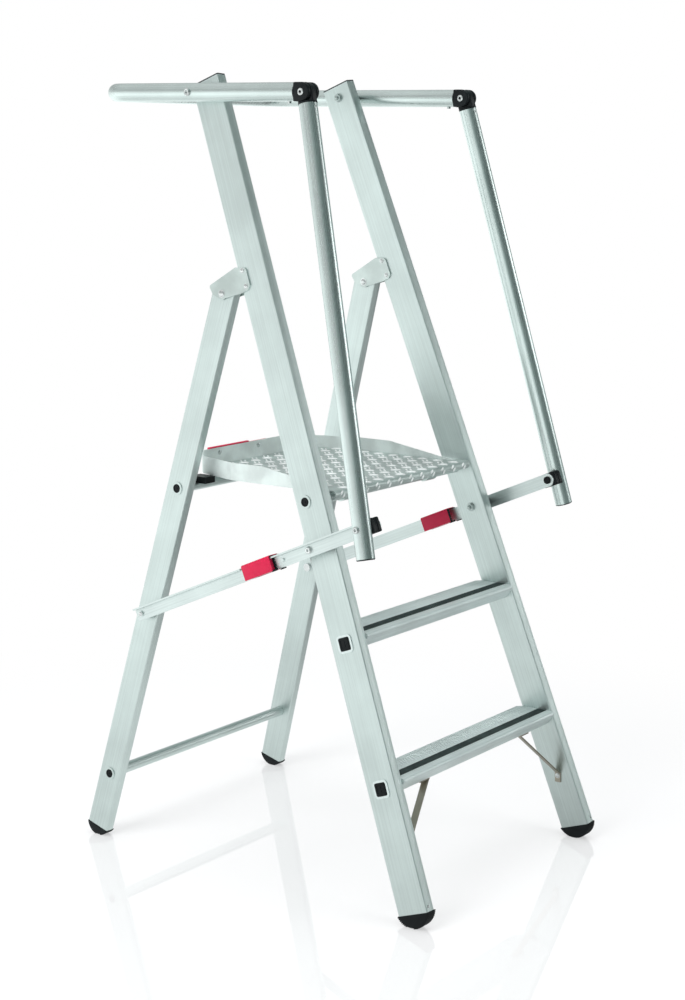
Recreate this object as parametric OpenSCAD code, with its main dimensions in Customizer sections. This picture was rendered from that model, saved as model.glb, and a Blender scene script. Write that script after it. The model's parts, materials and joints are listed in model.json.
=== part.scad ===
// Folding podium step: a leaning front frame with two treads, a rear frame hinged behind it,
// a tilting platform between them, folding stays, and a guard rail with two hanging gate tubes.

/* [Front frame] */
// Outside width over the stiles at the floor
base_w = 571.8; // [450:0.1:700]
// Distance between the stile and leg centre lines at the floor
base_len = 766; // [600:1:900]
// Backward lean of the stiles in degrees
stile_lean = 20.2; // [12:0.1:28]
// Inward taper of the stiles in degrees
stile_taper = 3.37; // [0.5:0.01:6]
// Width of a stile seen from the side
stile_w = 62.3; // [45:0.1:80]
// Thickness of a stile
stile_t = 22; // [18:0.1:30]
// Wall of the stiles and legs
box_wall = 2; // [1.4:0.1:3]
// Corner radius of the stiles and legs
box_r = 2.6; // [2.2:0.1:4]
// Height of the stiles' top cut above the rail's pivots
stile_over = 21; // [16:1:60]
// Thickness of the stile caps
cap_t = 2.2; // [1.5:0.1:4]
// Length of a stile cap's plug
cap_plug = 8; // [5:0.5:12]

/* [Feet] */
// Sole radius of the front feet
foot_r = 35.6; // [30:0.1:50]
// Sole radius of the rear feet
rear_foot_r = 28.4; // [24:0.1:40]
// Depth of the flat that the soles stand on
foot_flat = 0.7; // [0.3:0.1:1.5]
// How far the sole's centre lies inside the tube
foot_drop = 11; // [8:0.1:22]
// Overhang of a foot around its tube
foot_lip = 1; // [0.4:0.1:2]
// Length of the plugs inside the tubes
plug_len = 24; // [12:1:40]
// How far the plugs stand out of their collars
plug_proud = 0.8; // [0.3:0.1:2]
// Gap around fixed plugs and fasteners
fix_gap = 0.25; // [0.1:0.05:0.4]

/* [Treads] */
// Height of the first tread's top
tread_z = 248.5; // [200:0.5:280]
// Height from tread to tread
tread_pitch = 240; // [200:1:280]
// Thickness of a tread
tread_t = 26; // [20:1:34]
// Depth of a tread
tread_depth = 78; // [65:1:110]
// How far a tread stands ahead of the stile's centre line
tread_ahead = 32; // [26:1:40]
// Radius of the tread's nose
tread_nose_r = 5; // [3:0.5:8]
// How far the tread's lower front edge lies behind its nose
tread_rake = 14; // [0:1:24]
// Wall of a tread
tread_wall = 2.4; // [1.8:0.1:4]
// Distance of the dark grip strip behind the nose
strip_at = 17; // [10:1:24]
// Width of the dark grip strip
strip_w = 18; // [12:1:26]
// Depth of the strip's groove
strip_t = 2; // [1:0.1:2.2]
// How far the strip stands above the tread
strip_proud = 0.6; // [0.2:0.1:1.2]
// Depth of the tread ends' middle below the tread's top
tang_drop = 18.5; // [14:0.5:20]
// Outside size of the square tread ends
tang = 27; // [22:0.5:32]
// Corner radius of the square tread ends
tang_r = 5; // [4:0.5:8]
// Wall of the square tread ends
tang_wall = 1.6; // [1:0.1:2.4]
// Width of the swaged collar around a tread end
collar_w = 2.2; // [1:0.1:4]
// How far a swaged collar stands off the stile
collar_t = 1.6; // [0.8:0.1:3]
// Cut at the tread's rear corners
tread_chamfer = 10; // [5:1:25]
// Length of a tread's solid ends
tread_end = 59; // [40:1:80]

/* [Braces] */
// Width of a brace strip
brace_w = 12; // [8:1:18]
// Thickness of a brace strip
brace_t = 2.5; // [1.5:0.1:4]
// Sideways run of a brace from the stile
brace_run = 95; // [60:0.1:150]
// Height of a brace's lower end
brace_z = 121; // [90:1:150]
// Length of a brace's flattened ends
brace_tab = 26; // [18:1:40]

/* [Hinges] */
// Height of the leg pivots
hinge_z = 1057.5; // [950:0.5:1150]
// Distance of the leg pivots behind the stile's centre line
hinge_back = 82; // [72:0.5:95]
// Thickness of a hinge plate
plate_t = 3; // [2:0.1:5]
// How far a hinge plate laps over the stile
plate_lap = 20.8; // [18:0.1:26]
// Height of a hinge plate above the leg pivot
plate_rise = 28; // [24:0.5:34]
// Depth of a hinge plate below the leg pivot
plate_low = 11; // [8:0.5:14]
// Reach of a hinge plate behind the leg pivot
plate_rear = 23; // [18:0.5:28]
// Distance of a hinge plate's rivets from its front edge
plate_edge = 9; // [7:0.5:12]
// Radius of a leg pivot pin
pin_r = 5; // [4:0.1:7]
// Radius of the leg pins' heads
pin_head_r = 7; // [6:0.1:11]
// Radius of the small rivets
rivet_r = 3; // [2:0.1:4]
// Radius of the rivet heads
rivet_head_r = 5.5; // [4.2:0.1:8]
// Height of the rivet heads
rivet_head_h = 2.2; // [1:0.1:4]
// Radial clearance of the turning pins
run_gap = 0.05; // [0.02:0.01:0.1]

/* [Rear frame] */
// How far the legs stand inside the stiles at the floor
leg_inset = 8.9; // [0:0.1:20]
// Width of a leg seen from the side
leg_w = 50; // [40:0.1:60]
// Thickness of a leg
leg_t = 19.4; // [14:0.1:20]
// Length of a leg above its pivot
leg_head = 11; // [10:0.5:24]
// Depth of the upper cross tube below the platform's pivot
upper_drop = 8.3; // [4:0.1:20]
// Radius of the cross tubes and the platform's pivot tube
tube_r = 10; // [8:0.1:12]
// Wall of the cross tubes
tube_wall = 1.8; // [1.2:0.1:3]
// Height of the lower cross bar
lower_z = 128; // [90:1:180]
// Long size of the lower cross bar's flat-oval section
bar_long = 22; // [20:1:36]
// Short size of the lower cross bar's flat-oval section
bar_short = 15; // [12:0.5:20]

/* [Platform] */
// Height of the platform's pivot
pivot_z = 706.3; // [660:0.1:750]
// Distance of the platform's pivot behind the stile's centre line
pivot_back = 10; // [0:0.5:16]
// Height of the deck's top above the platform's pivot
deck_rise = 18.7; // [17:0.1:40]
// Side gap between the platform and the stiles
deck_gap = 25.8; // [20:0.1:60]
// Side gap between the deck's nose and the stiles
nose_gap = 10; // [6:0.5:40]
// Distance of the deck's nose ahead of the pivot
nose_ahead = 42; // [30:1:50]
// Radius of the deck's rolled nose
nose_r = 8; // [6:0.5:9]
// Distance of the platform's rear behind the pivot
deck_back = 314; // [260:1:330]
// Length of the straight sides behind the pivot
side_back = 210; // [150:1:230]
// Distance from the rear corners' start to the platform's rear
corner_len = 14; // [8:1:24]
// How far the rear corners start inside the platform's sides
corner_in = 27.5; // [15:0.5:45]
// How far the straight rear side ends inside the corners' start
rear_in = 13; // [6:0.5:25]
// Thickness of the deck sheet
deck_t = 2.6; // [2:0.1:5]
// Thickness of the toe board
toe_t = 2.4; // [1.6:0.1:4]
// Height of the toe board's rear side above the deck
toe_h = 32; // [20:0.5:50]
// Height of the toe board's other sides above the deck
toe_side = 24; // [12:0.5:40]
// Gap between the toe board and the pivot tube
toe_gap = 0.5; // [0.3:0.1:2]
// Distance of the toe board's full height behind the pivot
toe_full = 135; // [90:1:180]
// Distance of the toe board's low end ahead of the pivot
toe_low = 14; // [5:1:25]
// Width of a hinge bracket under the deck
bracket_w = 30; // [18:1:50]
// Distance of the hinge brackets from the platform's sides
bracket_in = 66.5; // [40:0.5:100]
// Wall of a hinge bracket around the pivot tube
bracket_wall = 3; // [2:0.1:5]
// Side gap between the catches and the stiles when the platform is up
catch_gap = 0.8; // [0.5:0.1:4]
// Width of a catch
catch_w = 27; // [20:1:34]
// Length of a catch ahead of the upper cross tube
catch_len = 36; // [30:1:70]
// Height of a catch's lower side above the upper cross tube's middle
catch_rise = 6.5; // [6:0.1:8]
// Length of the red handle
grip_len = 172; // [100:1:200]
// Distance of the handle from the rear side's left end
grip_in = 19; // [10:1:60]
// Height of the handle
grip_h = 18; // [10:0.5:24]
// Thickness of the handle behind and above the toe board
grip_t = 4; // [2:0.1:7]
// Length of the handle's lip over the toe board
grip_lip = 116; // [60:1:150]
// Radius of the handle's rivet heads
stud_r = 4; // [2.5:0.1:6]

/* [Stays] */
// Height of the front bars' pivots on the stiles
stay_z = 632; // [580:1:690]
// Height of the rear bars' pivots on the legs
foot_pivot_z = 458; // [400:1:520]
// Width of a stay bar
stay_w = 25; // [20:0.5:30]
// Thickness of a stay bar's web
stay_t = 3; // [2:0.1:4]
// Width of a stay bar's flange
flange_w = 7; // [4:0.1:8]
// Distance of the rear bars from the stiles' outer faces at the pivots
stay_off = 19.3; // [14:0.1:30]
// Side gap between the front and rear bars
stay_gap = 1; // [0.5:0.1:2]
// Distance from the front bars' pivot to the hinge between the bars
stay_hinge = 144; // [135:0.5:150]
// Distance from the front bars' pivot to the gate tubes' bolts
stay_reach = 150; // [130:0.5:170]
// Radius of the stay bolts
bolt_r = 5; // [3.5:0.1:6.5]
// Radius of the black spacers
spacer_r = 9; // [7:0.1:12]
// Radius of the bolt heads
head_r = 8; // [6:0.1:10]
// Height of the bolt heads
head_h = 5; // [3:0.1:7]
// Gap at the pivots that open while the stays fold
open_gap = 0.4; // [0.3:0.05:0.8]
// Length of a lock sleeve
sleeve_len = 68; // [50:1:90]
// How far a lock sleeve covers the rear bar
sleeve_lap = 8; // [5:0.5:14]
// Wall of a lock sleeve
sleeve_wall = 2.4; // [1.6:0.1:3.2]
// Gap between a lock sleeve and the bars
sleeve_gap = 0.8; // [0.4:0.1:1.2]
// Length of a lock sleeve's black insert
insert_len = 6; // [4:0.5:14]
// Travel of a lock sleeve
sleeve_travel = 12; // [8:0.5:20]

/* [Guard rail] */
// Height of the rail's pivots on the stiles
rail_z = 1408; // [1300:1:1600]
// Depth of the knuckles below the rail's pivots
knuckle_drop = 4; // [0:0.5:20]
// Distance of the knuckles ahead of the rail's pivots
knuckle_ahead = 251; // [200:1:300]
// Distance of the rail's rear run behind its pivots
rail_back = 212; // [150:1:260]
// Distance of the rail's sides from the stiles' outer faces
rail_off = 38; // [30:0.5:60]
// Radius of the rail and gate tubes
rail_r = 16; // [12:0.5:20]
// Wall of the rail and gate tubes
rail_wall = 1.8; // [1.2:0.1:3]
// Bend radius of the rail
bend_r = 50; // [40:1:90]
// Thickness of a knuckle's tongue
tongue_t = 14; // [10:0.5:18]
// Side gap in a knuckle
knuckle_gap = 0.4; // [0.3:0.05:0.8]
// Distance from a knuckle's bolt to the rail's end
rail_stub = 18; // [17:0.5:26]
// Distance from a knuckle's bolt to a gate tube's end
gate_stub = 21; // [20:0.5:28]
// Height of the plastic collars at the knuckles
ring_t = 2; // [1:0.1:4]
// Radius of the small studs under the rail
peg_r = 3.5; // [2:0.1:5]
// Height of the small studs under the rail
peg_h = 3; // [1.5:0.1:5]

/* [Gate tubes] */
// Distance of a gate tube's axis from the front bar
gate_off = 34.3; // [28:0.1:50]
// Length of a gate tube below the front bar
gate_tail = 51; // [35:1:80]
// Length of a saddle along the stay
saddle_len = 30; // [28:1:52]
// Height of a saddle
saddle_h = 26; // [20:1:34]

/* [Hidden] */
$fn = 48;

// Stile lines
rise = tan(stile_lean);
stile_rx = atan(rise * cos(stile_taper));
stile_up = cos(stile_rx) * cos(stile_taper);
front_h = foot_r - foot_flat;
rear_h = rear_foot_r - foot_flat;
lean_back = (base_len - hinge_back - rise * hinge_z) / hinge_z;
shift = (foot_r * (1 - rise) - rear_foot_r * (1 - lean_back)) / 2;
front_y = -base_len / 2 + shift;
rear_y = base_len / 2 + shift;
function stile_y(z) = front_y + z * rise;
function stile_out(z) = base_w / 2 - z * tan(stile_taper);
function stile_in(z) = stile_out(z) - stile_t / cos(stile_taper);
stile_cut = front_h / stile_up - foot_drop;
stile_end = (rail_z + stile_over) / stile_up;

// Leg lines
hinge_y = stile_y(hinge_z) + hinge_back;
hinge_mid = stile_out(hinge_z) - stile_t / 2 / cos(stile_taper);
leg_taper = atan((base_w / 2 - leg_inset - hinge_mid - leg_t / 2) / hinge_z);
leg_rx = atan(lean_back * cos(leg_taper));
leg_up = cos(leg_rx) * cos(leg_taper);
function leg_y(z) = rear_y - z * lean_back;
function leg_out(z) = hinge_mid + leg_t / 2 + (hinge_z - z) * tan(leg_taper);
function leg_in(z) = leg_out(z) - leg_t / cos(leg_taper);
leg_cut = rear_h / leg_up - foot_drop;
leg_end = hinge_z / leg_up + leg_head;

// Hinge plates: each outline point as shares of the reach ahead or behind, and of the rise or the drop
plate_front = hinge_back * cos(stile_lean) - stile_w / 2 + plate_lap;
plate_shares = [[-1, -0.5], [-1, 0.8], [-0.96, 0.98], [-0.66, 1.22], [0.9, 0.8], [1, 0.68], [0.88, 0.2],
    [0.5, -0.3], [-0.1, -0.95], [-0.64, -1.2], [-0.9, -1.15]];
rivet_shares = [0.86, -0.17];
function plate_point(p) = [p[0] * (p[0] < 0 ? plate_front : plate_rear),
    p[1] * (p[1] > 0 ? plate_rise : plate_low)];
plate_rivets = [for (k = rivet_shares) [plate_edge - plate_front, k * plate_rise]];

// Treads
tread_tops = [tread_z, tread_z + tread_pitch];
plug_side = tang - 2 * tang_wall;

// Braces
brace_x = stile_in(tread_z) - brace_run;
brace_y = stile_y(brace_z);
brace_low = tread_z - tread_t;
brace_top_y = stile_y(tread_z - tang_drop) - tread_ahead + tread_rake + brace_w / 2;
brace_bend = brace_z + brace_tab / 4;
brace_in = stile_in(brace_z);
rivet_end = brace_in + stile_t / 2;

// Platform
deck_z = pivot_z + deck_rise;
upper_z = pivot_z - upper_drop;
deck_w = 2 * (stile_in(pivot_z) - deck_gap);
corner_w = deck_w - 2 * corner_in;
rear_w = corner_w - 2 * rear_in;
toe_base = pivot_z + tube_r + toe_gap;
bracket_x = deck_w / 2 - bracket_in;
bracket_r = tube_r + bracket_wall;
catch_x = stile_in(pivot_z + deck_back) - catch_gap - catch_w;
grip_x = grip_in + grip_len / 2 - rear_w / 2;
grip_studs = [grip_x - grip_len / 3, grip_x + grip_len / 3];
pivot_y = stile_y(pivot_z) + pivot_back;
deck_front = pivot_y - nose_ahead;
nose_half = stile_in(deck_z) - nose_gap;
toe_start = pivot_y - toe_low;
deck_rear = pivot_y + deck_back;
shoulder_y = pivot_y + side_back;
corner_y = deck_rear - corner_len;
deck_low = deck_z - deck_t;
upper_y = leg_y(upper_z);
lower_y = leg_y(lower_z);

// Stays
stay_x = stile_out(stay_z) + stay_off;
stay_y = stile_y(stay_z);
foot_y = leg_y(foot_pivot_z);
stay_dip = atan2(stay_z - foot_pivot_z, foot_y - stay_y);
stay_span = norm([foot_y - stay_y, stay_z - foot_pivot_z]);
front_x = stay_x + stay_t + flange_w + stay_gap;
sleeve_front = stay_hinge + sleeve_lap - sleeve_len;
bolt_y = stay_y - stay_reach * cos(stay_dip);
bolt_z = stay_z + stay_reach * sin(stay_dip);
sleeve_in = stay_x - sleeve_gap;
sleeve_out = front_x + stay_t + flange_w + sleeve_gap;
sleeve_top = stay_w / 2 + sleeve_gap;
sleeve_low = -stay_w / 2;

// Rail and gate tubes
rail_x = stile_out(rail_z) + rail_off;
gate_x = front_x + stay_t + gate_off;
rail_y = stile_y(rail_z);
knuckle_z = rail_z - knuckle_drop;
knuckle_y = rail_y - knuckle_ahead;
rail_tilt = atan2(rail_z - knuckle_z, knuckle_ahead);
rail_front = norm([knuckle_ahead, rail_z - knuckle_z]);
gate_dir = [gate_x - rail_x, bolt_y - knuckle_y, bolt_z - knuckle_z];
gate_len = norm(gate_dir);
gate_a = asin(-gate_dir[1] / gate_len);
gate_b = atan2(-gate_dir[0], -gate_dir[2]);
far = 2 * base_w;

// Helpers
module on_left() {
    mirror([1, 0, 0]) children();
}

module both_sides() {
    children();
    on_left() children();
}

module rounded(a, b, r) {
    square([a - 2 * r, b], center = true);
    square([a, b - 2 * r], center = true);
    for (i = [-1, 1])
        for (j = [-1, 1])
            translate([i * (a / 2 - r), j * (b / 2 - r)])
                circle(r);
}

// A round bar along X from x0 to x1
module rod(x0, x1, y, z, r) {
    translate([x0, y, z])
        rotate([0, 90, 0])
            cylinder(h = x1 - x0, r = r);
}

// A profile drawn in Y and Z, drawn out along X
module along_x(x0, x1) {
    translate([x0, 0, 0])
        rotate([90, 0, 90])
            linear_extrude(height = x1 - x0)
                children();
}

// The right stile's own frame: Z along the stile, Y across it
module stile_frame() {
    translate([base_w / 2 - stile_t / 2 / cos(stile_taper), front_y, 0])
        rotate([-stile_rx, -stile_taper, 0])
            children();
}

module leg_frame() {
    translate([leg_out(0) - leg_t / 2 / cos(leg_taper), rear_y, 0])
        rotate([leg_rx, -leg_taper, 0])
            children();
}

// Everything on the inner side of the right stile's outer face, moved in by a distance
module stile_side(inset) {
    translate([base_w / 2 - inset / cos(stile_taper), 0, 0])
        rotate([0, -stile_taper, 0])
            translate([-far, -far, -far])
                cube([far, 2 * far, 3 * far]);
}

module leg_side(inset) {
    translate([leg_out(0) - inset / cos(leg_taper), 0, 0])
        rotate([0, -leg_taper, 0])
            translate([-far, -far, -far])
                cube([far, 2 * far, 3 * far]);
}

// A square tread end on the stile's slope
module tang_bar(x0, x1, top, side) {
    translate([0, stile_y(top - tang_drop), top - tang_drop])
        rotate([-stile_lean, 0, 0])
            along_x(x0, x1)
                rounded(side, side, tang_r + (side - tang) / 2);
}

// Front frame
module stile() {
    color([0.78, 0.8, 0.79])
        difference() {
            stile_frame()
                translate([0, 0, stile_cut])
                    linear_extrude(height = stile_end - stile_cut)
                        difference() {
                            rounded(stile_t, stile_w, box_r);
                            square([stile_t - 2 * box_wall, stile_w - 2 * box_wall], center = true);
                        }
            for (top = tread_tops)
                tang_bar(0, base_w, top, tang);
            rod(0, base_w, pivot_y, pivot_z, tube_r + fix_gap);
            rod(0, base_w, stay_y, stay_z, bolt_r + fix_gap);
            rod(0, base_w, rail_y, rail_z, bolt_r + fix_gap);
            rod(0, rivet_end, brace_y, brace_z, rivet_r + fix_gap);
            for (p = plate_rivets)
                plate_frame()
                    translate([0, p[0], p[1]])
                        rotate([0, 90, 0])
                            cylinder(h = far, r = rivet_r + fix_gap, center = true);
        }
}

module left_stile() {
    on_left() stile();
}

module right_stile() {
    stile();
}

module stile_cap() {
    stile_frame() {
        translate([0, 0, stile_end])
            linear_extrude(height = cap_t)
                rounded(stile_t, stile_w, box_r);
        translate([0, 0, stile_end - cap_plug])
            linear_extrude(height = cap_plug)
                square([stile_t - 2 * (box_wall + fix_gap), stile_w - 2 * (box_wall + fix_gap)],
                    center = true);
    }
}

module stile_caps() {
    color([0.16, 0.17, 0.17]) both_sides() stile_cap();
}

module front_foot() {
    difference() {
        intersection() {
            rod(0, base_w, stile_y(front_h), front_h, foot_r);
            stile_frame()
                translate([-stile_t / 2 - foot_lip, -stile_w, stile_cut - 2 * foot_r])
                    cube([stile_t + 2 * foot_lip, 2 * stile_w, 2 * foot_r]);
        }
        translate([0, -far, -far])
            cube([far, 2 * far, far]);
    }
    stile_frame()
        translate([0, 0, stile_cut - foot_lip])
            linear_extrude(height = plug_len)
                square([stile_t - 2 * (box_wall + fix_gap), stile_w - 2 * (box_wall + fix_gap)],
                    center = true);
}

module front_feet() {
    color([0.07, 0.07, 0.08]) both_sides() front_foot();
}

module tread_outline() {
    difference() {
        union() {
            polygon([[tread_rake, 0], [tread_depth, 0], [tread_depth, tread_t], [tread_nose_r, tread_t],
                [tread_nose_r, tread_t - tread_nose_r], [0, tread_t - tread_nose_r]]);
            translate([tread_nose_r, tread_t - tread_nose_r])
                circle(tread_nose_r);
        }
        translate([strip_at, tread_t - strip_t])
            square([strip_w, 2 * strip_t]);
    }
}

module tread(top) {
    lead = stile_y(top - tang_drop) - tread_ahead;
    color([0.8, 0.82, 0.81])
        union() {
            difference() {
                translate([0, lead, top - tread_t])
                    along_x(-base_w, base_w)
                        tread_outline();
                translate([0, lead, top - tread_t])
                    along_x(tread_end - stile_in(top), stile_in(top) - tread_end)
                        translate([tread_rake + tread_wall, tread_wall])
                            square([tread_depth - tread_rake - 2 * tread_wall,
                                tread_t - 2 * tread_wall - strip_t]);
                both_sides() {
                    difference() {
                        translate([0, lead - far, 0])
                            cube([far, 2 * far, far]);
                        stile_side(stile_t);
                    }
                    translate([stile_in(top), lead + tread_depth, 0])
                        rotate([0, 0, 45])
                            translate([-tread_chamfer / sqrt(2), -tread_chamfer * sqrt(2), 0])
                                cube([2 * tread_chamfer, 3 * tread_chamfer, far]);
                }
            }
            both_sides() {
                difference() {
                    tang_bar(0, base_w, top, tang);
                    tang_bar(0, 2 * base_w, top, plug_side);
                    stile_side(stile_t + foot_lip);
                    difference() {
                        tang_bar(0, 2 * base_w, top, far);
                        stile_side(-collar_t);
                    }
                }
                difference() {
                    tang_bar(0, base_w, top, tang + 2 * collar_w);
                    tang_bar(0, 2 * base_w, top, plug_side);
                    stile_side(0);
                    difference() {
                        tang_bar(0, 2 * base_w, top, far);
                        stile_side(-collar_t);
                    }
                }
            }
        }
}

module lower_tread() {
    tread(tread_tops[0]);
}

module upper_tread() {
    tread(tread_tops[1]);
}

module grip_strips() {
    color([0.2, 0.23, 0.22])
        for (top = tread_tops)
            difference() {
                translate([0, stile_y(top - tang_drop) - tread_ahead + strip_at, top - strip_t])
                    along_x(-base_w, base_w)
                        square([strip_w, strip_t + strip_proud]);
                both_sides()
                    difference() {
                        translate([0, -far, 0])
                            cube([far, 2 * far, far]);
                        stile_side(stile_t + foot_lip);
                    }
            }
}

module tread_plugs() {
    color([0.07, 0.07, 0.08])
        both_sides()
            for (top = tread_tops)
                difference() {
                    tang_bar(0, base_w, top, plug_side - 2 * fix_gap);
                    stile_side(stile_t);
                    difference() {
                        tang_bar(0, 2 * base_w, top, far);
                        stile_side(-collar_t - plug_proud);
                    }
                }
}

module pivot_tube() {
    color([0.8, 0.82, 0.81])
        difference() {
            union() {
                rod(-base_w / 2, base_w / 2, pivot_y, pivot_z, tube_r);
                both_sides()
                    difference() {
                        rod(0, base_w / 2, pivot_y, pivot_z, tube_r + collar_w);
                        stile_side(0);
                    }
            }
            rod(-base_w, base_w, pivot_y, pivot_z, tube_r - tube_wall);
            both_sides()
                difference() {
                    rod(0, base_w, pivot_y, pivot_z, 2 * tube_r);
                    stile_side(-collar_t);
                }
        }
}

module end_plug(y, z, x) {
    rod(x - plug_len, x, y, z, tube_r - tube_wall - fix_gap);
}

module pivot_plugs() {
    color([0.07, 0.07, 0.08])
        both_sides()
            end_plug(pivot_y, pivot_z, stile_out(pivot_z) + collar_t + plug_proud);
}

// A frame on the stile's face: Y along the tread direction of the stile, Z up the stile, X out of it
module plate_frame() {
    translate([base_w / 2, 0, 0])
        rotate([0, -stile_taper, 0])
            translate([0, hinge_y, hinge_z / cos(stile_taper)])
                rotate([-stile_lean, 0, 0])
                    children();
}

module plate_outline() {
    polygon([for (p = plate_shares) plate_point(p)]);
    circle(plate_low);
}

module hinge_plate(inset) {
    plate_frame()
        translate([-inset, 0, 0])
            rotate([90, 0, 90])
                linear_extrude(height = plate_t)
                    difference() {
                        plate_outline();
                        for (p = plate_rivets)
                            translate(p)
                                circle(rivet_r + fix_gap);
                    }
}

module hinge_plates() {
    color([0.76, 0.78, 0.77])
        difference() {
            union() {
                hinge_plate(0);
                hinge_plate(stile_t + plate_t);
            }
            rod(0, base_w, hinge_y, hinge_z, pin_r + fix_gap);
        }
}

module left_hinge_plates() {
    on_left() hinge_plates();
}

module right_hinge_plates() {
    hinge_plates();
}

module hinge_rivets() {
    color([0.7, 0.72, 0.72])
        both_sides()
            for (p = plate_rivets)
                plate_frame()
                    translate([0, p[0], p[1]])
                        rotate([0, 90, 0]) {
                            translate([0, 0, -stile_t - plate_t])
                                cylinder(h = stile_t + 2 * plate_t, r = rivet_r);
                            translate([0, 0, plate_t])
                                cylinder(h = rivet_head_h, r1 = rivet_head_r, r2 = rivet_r);
                            translate([0, 0, -stile_t - plate_t - rivet_head_h])
                                cylinder(h = rivet_head_h, r1 = rivet_r, r2 = rivet_head_r);
                        }
}

module leg_pins() {
    color([0.7, 0.72, 0.72])
        both_sides() {
            rod(stile_in(hinge_z) - 2 * plate_t, stile_out(hinge_z) + 2 * plate_t, hinge_y, hinge_z, pin_r);
            difference() {
                rod(stile_out(hinge_z), stile_out(hinge_z) + plate_t + rivet_head_h, hinge_y,
                    hinge_z, pin_head_r);
                stile_side(-plate_t);
            }
            intersection() {
                rod(stile_in(hinge_z) - plate_t - rivet_head_h, stile_in(hinge_z), hinge_y,
                    hinge_z, pin_head_r);
                stile_side(stile_t + plate_t);
            }
        }
}

// A flat strip from one point to another
module strut(p, q, w, t) {
    d = q - p;
    translate(p)
        rotate([0, acos(d[2] / norm(d)), atan2(d[1], d[0])])
            translate([-t / 2, -w / 2, 0])
                cube([t, w, norm(d)]);
}

module brace() {
    top_end = [brace_x, brace_top_y, brace_low - brace_t / 2];
    low_end = [brace_in - brace_t, brace_y, brace_bend];
    color([0.5, 0.47, 0.43])
        difference() {
            union() {
                strut(top_end, low_end, brace_w, brace_t);
                translate([brace_x - brace_t, brace_top_y - brace_w / 2, brace_low - brace_t])
                    cube([brace_tab + brace_t, brace_w, brace_t]);
                intersection() {
                    translate([brace_in - 3 * brace_t, brace_y - brace_w / 2, brace_z - brace_tab / 2])
                        cube([6 * brace_t, brace_w, brace_bend - brace_z + brace_tab / 2]);
                    difference() {
                        stile_side(stile_t);
                        stile_side(stile_t + brace_t);
                    }
                }
            }
            difference() {
                translate([0, -far, 0])
                    cube([far, 2 * far, far]);
                stile_side(stile_t);
            }
            translate([0, -far, brace_low])
                cube([far, 2 * far, far]);
            rod(0, base_w, brace_y, brace_z, rivet_r + fix_gap);
        }
}

module left_brace() {
    on_left() brace();
}

module right_brace() {
    brace();
}

module small_rivets() {
    color([0.7, 0.72, 0.72])
        both_sides() {
            rod(brace_in - 2 * brace_t, rivet_end, brace_y, brace_z, rivet_r);
            intersection() {
                rod(brace_in - brace_t - rivet_head_h, brace_in, brace_y, brace_z, rivet_head_r);
                stile_side(stile_t + brace_t);
            }
        }
}

module stay_spacers() {
    color([0.07, 0.07, 0.08])
        both_sides()
            difference() {
                rod(stile_in(stay_z), front_x - run_gap, stay_y, stay_z, spacer_r);
                rod(0, base_w, stay_y, stay_z, bolt_r + fix_gap);
                stile_side(0);
            }
}

module nut_on_stile(y, z) {
    intersection() {
        rod(stile_in(z) - head_h, stile_in(z) + head_h, y, z, head_r);
        stile_side(stile_t);
    }
}

module stay_bolts() {
    color([0.72, 0.74, 0.74])
        both_sides() {
            rod(stile_in(stay_z) - head_h, front_x + stay_t + head_h, stay_y, stay_z, bolt_r);
            rod(front_x + stay_t + run_gap, front_x + stay_t + head_h, stay_y, stay_z, head_r);
            nut_on_stile(stay_y, stay_z);
        }
}

module rail_spacers() {
    color([0.07, 0.07, 0.08])
        both_sides()
            difference() {
                rod(stile_in(rail_z), rail_x - rail_r - open_gap, rail_y, rail_z, spacer_r);
                rod(0, base_w, rail_y, rail_z, bolt_r + fix_gap);
                stile_side(0);
            }
}

module rail_bolts() {
    color([0.72, 0.74, 0.74])
        both_sides() {
            rod(stile_in(rail_z) - head_h, rail_x + rail_r + head_h, rail_y, rail_z, bolt_r);
            rod(rail_x + rail_r + open_gap, rail_x + rail_r + head_h, rail_y, rail_z, head_r);
            nut_on_stile(rail_y, rail_z);
        }
}

// Rear frame
module leg() {
    color([0.78, 0.8, 0.79])
        difference() {
            leg_frame()
                translate([0, 0, leg_cut])
                    linear_extrude(height = leg_end - leg_cut)
                        difference() {
                            rounded(leg_t, leg_w, box_r);
                            square([leg_t - 2 * box_wall, leg_w - 2 * box_wall], center = true);
                        }
            rod(0, base_w, hinge_y, hinge_z, pin_r + run_gap);
            rod(0, base_w, upper_y, upper_z, tube_r + fix_gap);
            rod(0, base_w, lower_y, lower_z, tube_r + fix_gap);
            rod(0, base_w, foot_y, foot_pivot_z, bolt_r + fix_gap);
        }
}

module left_leg() {
    on_left() leg();
}

module right_leg() {
    leg();
}

module cross_tube(y, z) {
    difference() {
        union() {
            rod(-base_w / 2, base_w / 2, y, z, tube_r);
            both_sides()
                difference() {
                    rod(0, base_w / 2, y, z, tube_r + collar_w);
                    leg_side(0);
                }
        }
        rod(-base_w, base_w, y, z, tube_r - tube_wall);
        both_sides()
            difference() {
                rod(0, base_w, y, z, 2 * tube_r);
                leg_side(-collar_t);
            }
    }
}

module upper_cross_tube() {
    color([0.8, 0.82, 0.81]) cross_tube(upper_y, upper_z);
}

module lower_cross_bar() {
    color([0.8, 0.82, 0.81])
        union() {
            cross_tube(lower_y, lower_z);
            difference() {
                translate([0, lower_y, lower_z])
                    rotate([leg_rx, 0, 0])
                        along_x(-base_w / 2, base_w / 2)
                            difference() {
                                union() {
                                    square([bar_short, bar_long - bar_short], center = true);
                                    for (i = [-1, 1])
                                        translate([0, i * (bar_long - bar_short) / 2])
                                            circle(bar_short / 2);
                                    circle(tube_r);
                                }
                                circle(tube_r - tube_wall / 2);
                            }
                both_sides()
                    difference() {
                        translate([0, -far, 0])
                            cube([far, 2 * far, far]);
                        leg_side(leg_t);
                    }
            }
        }
}

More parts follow.
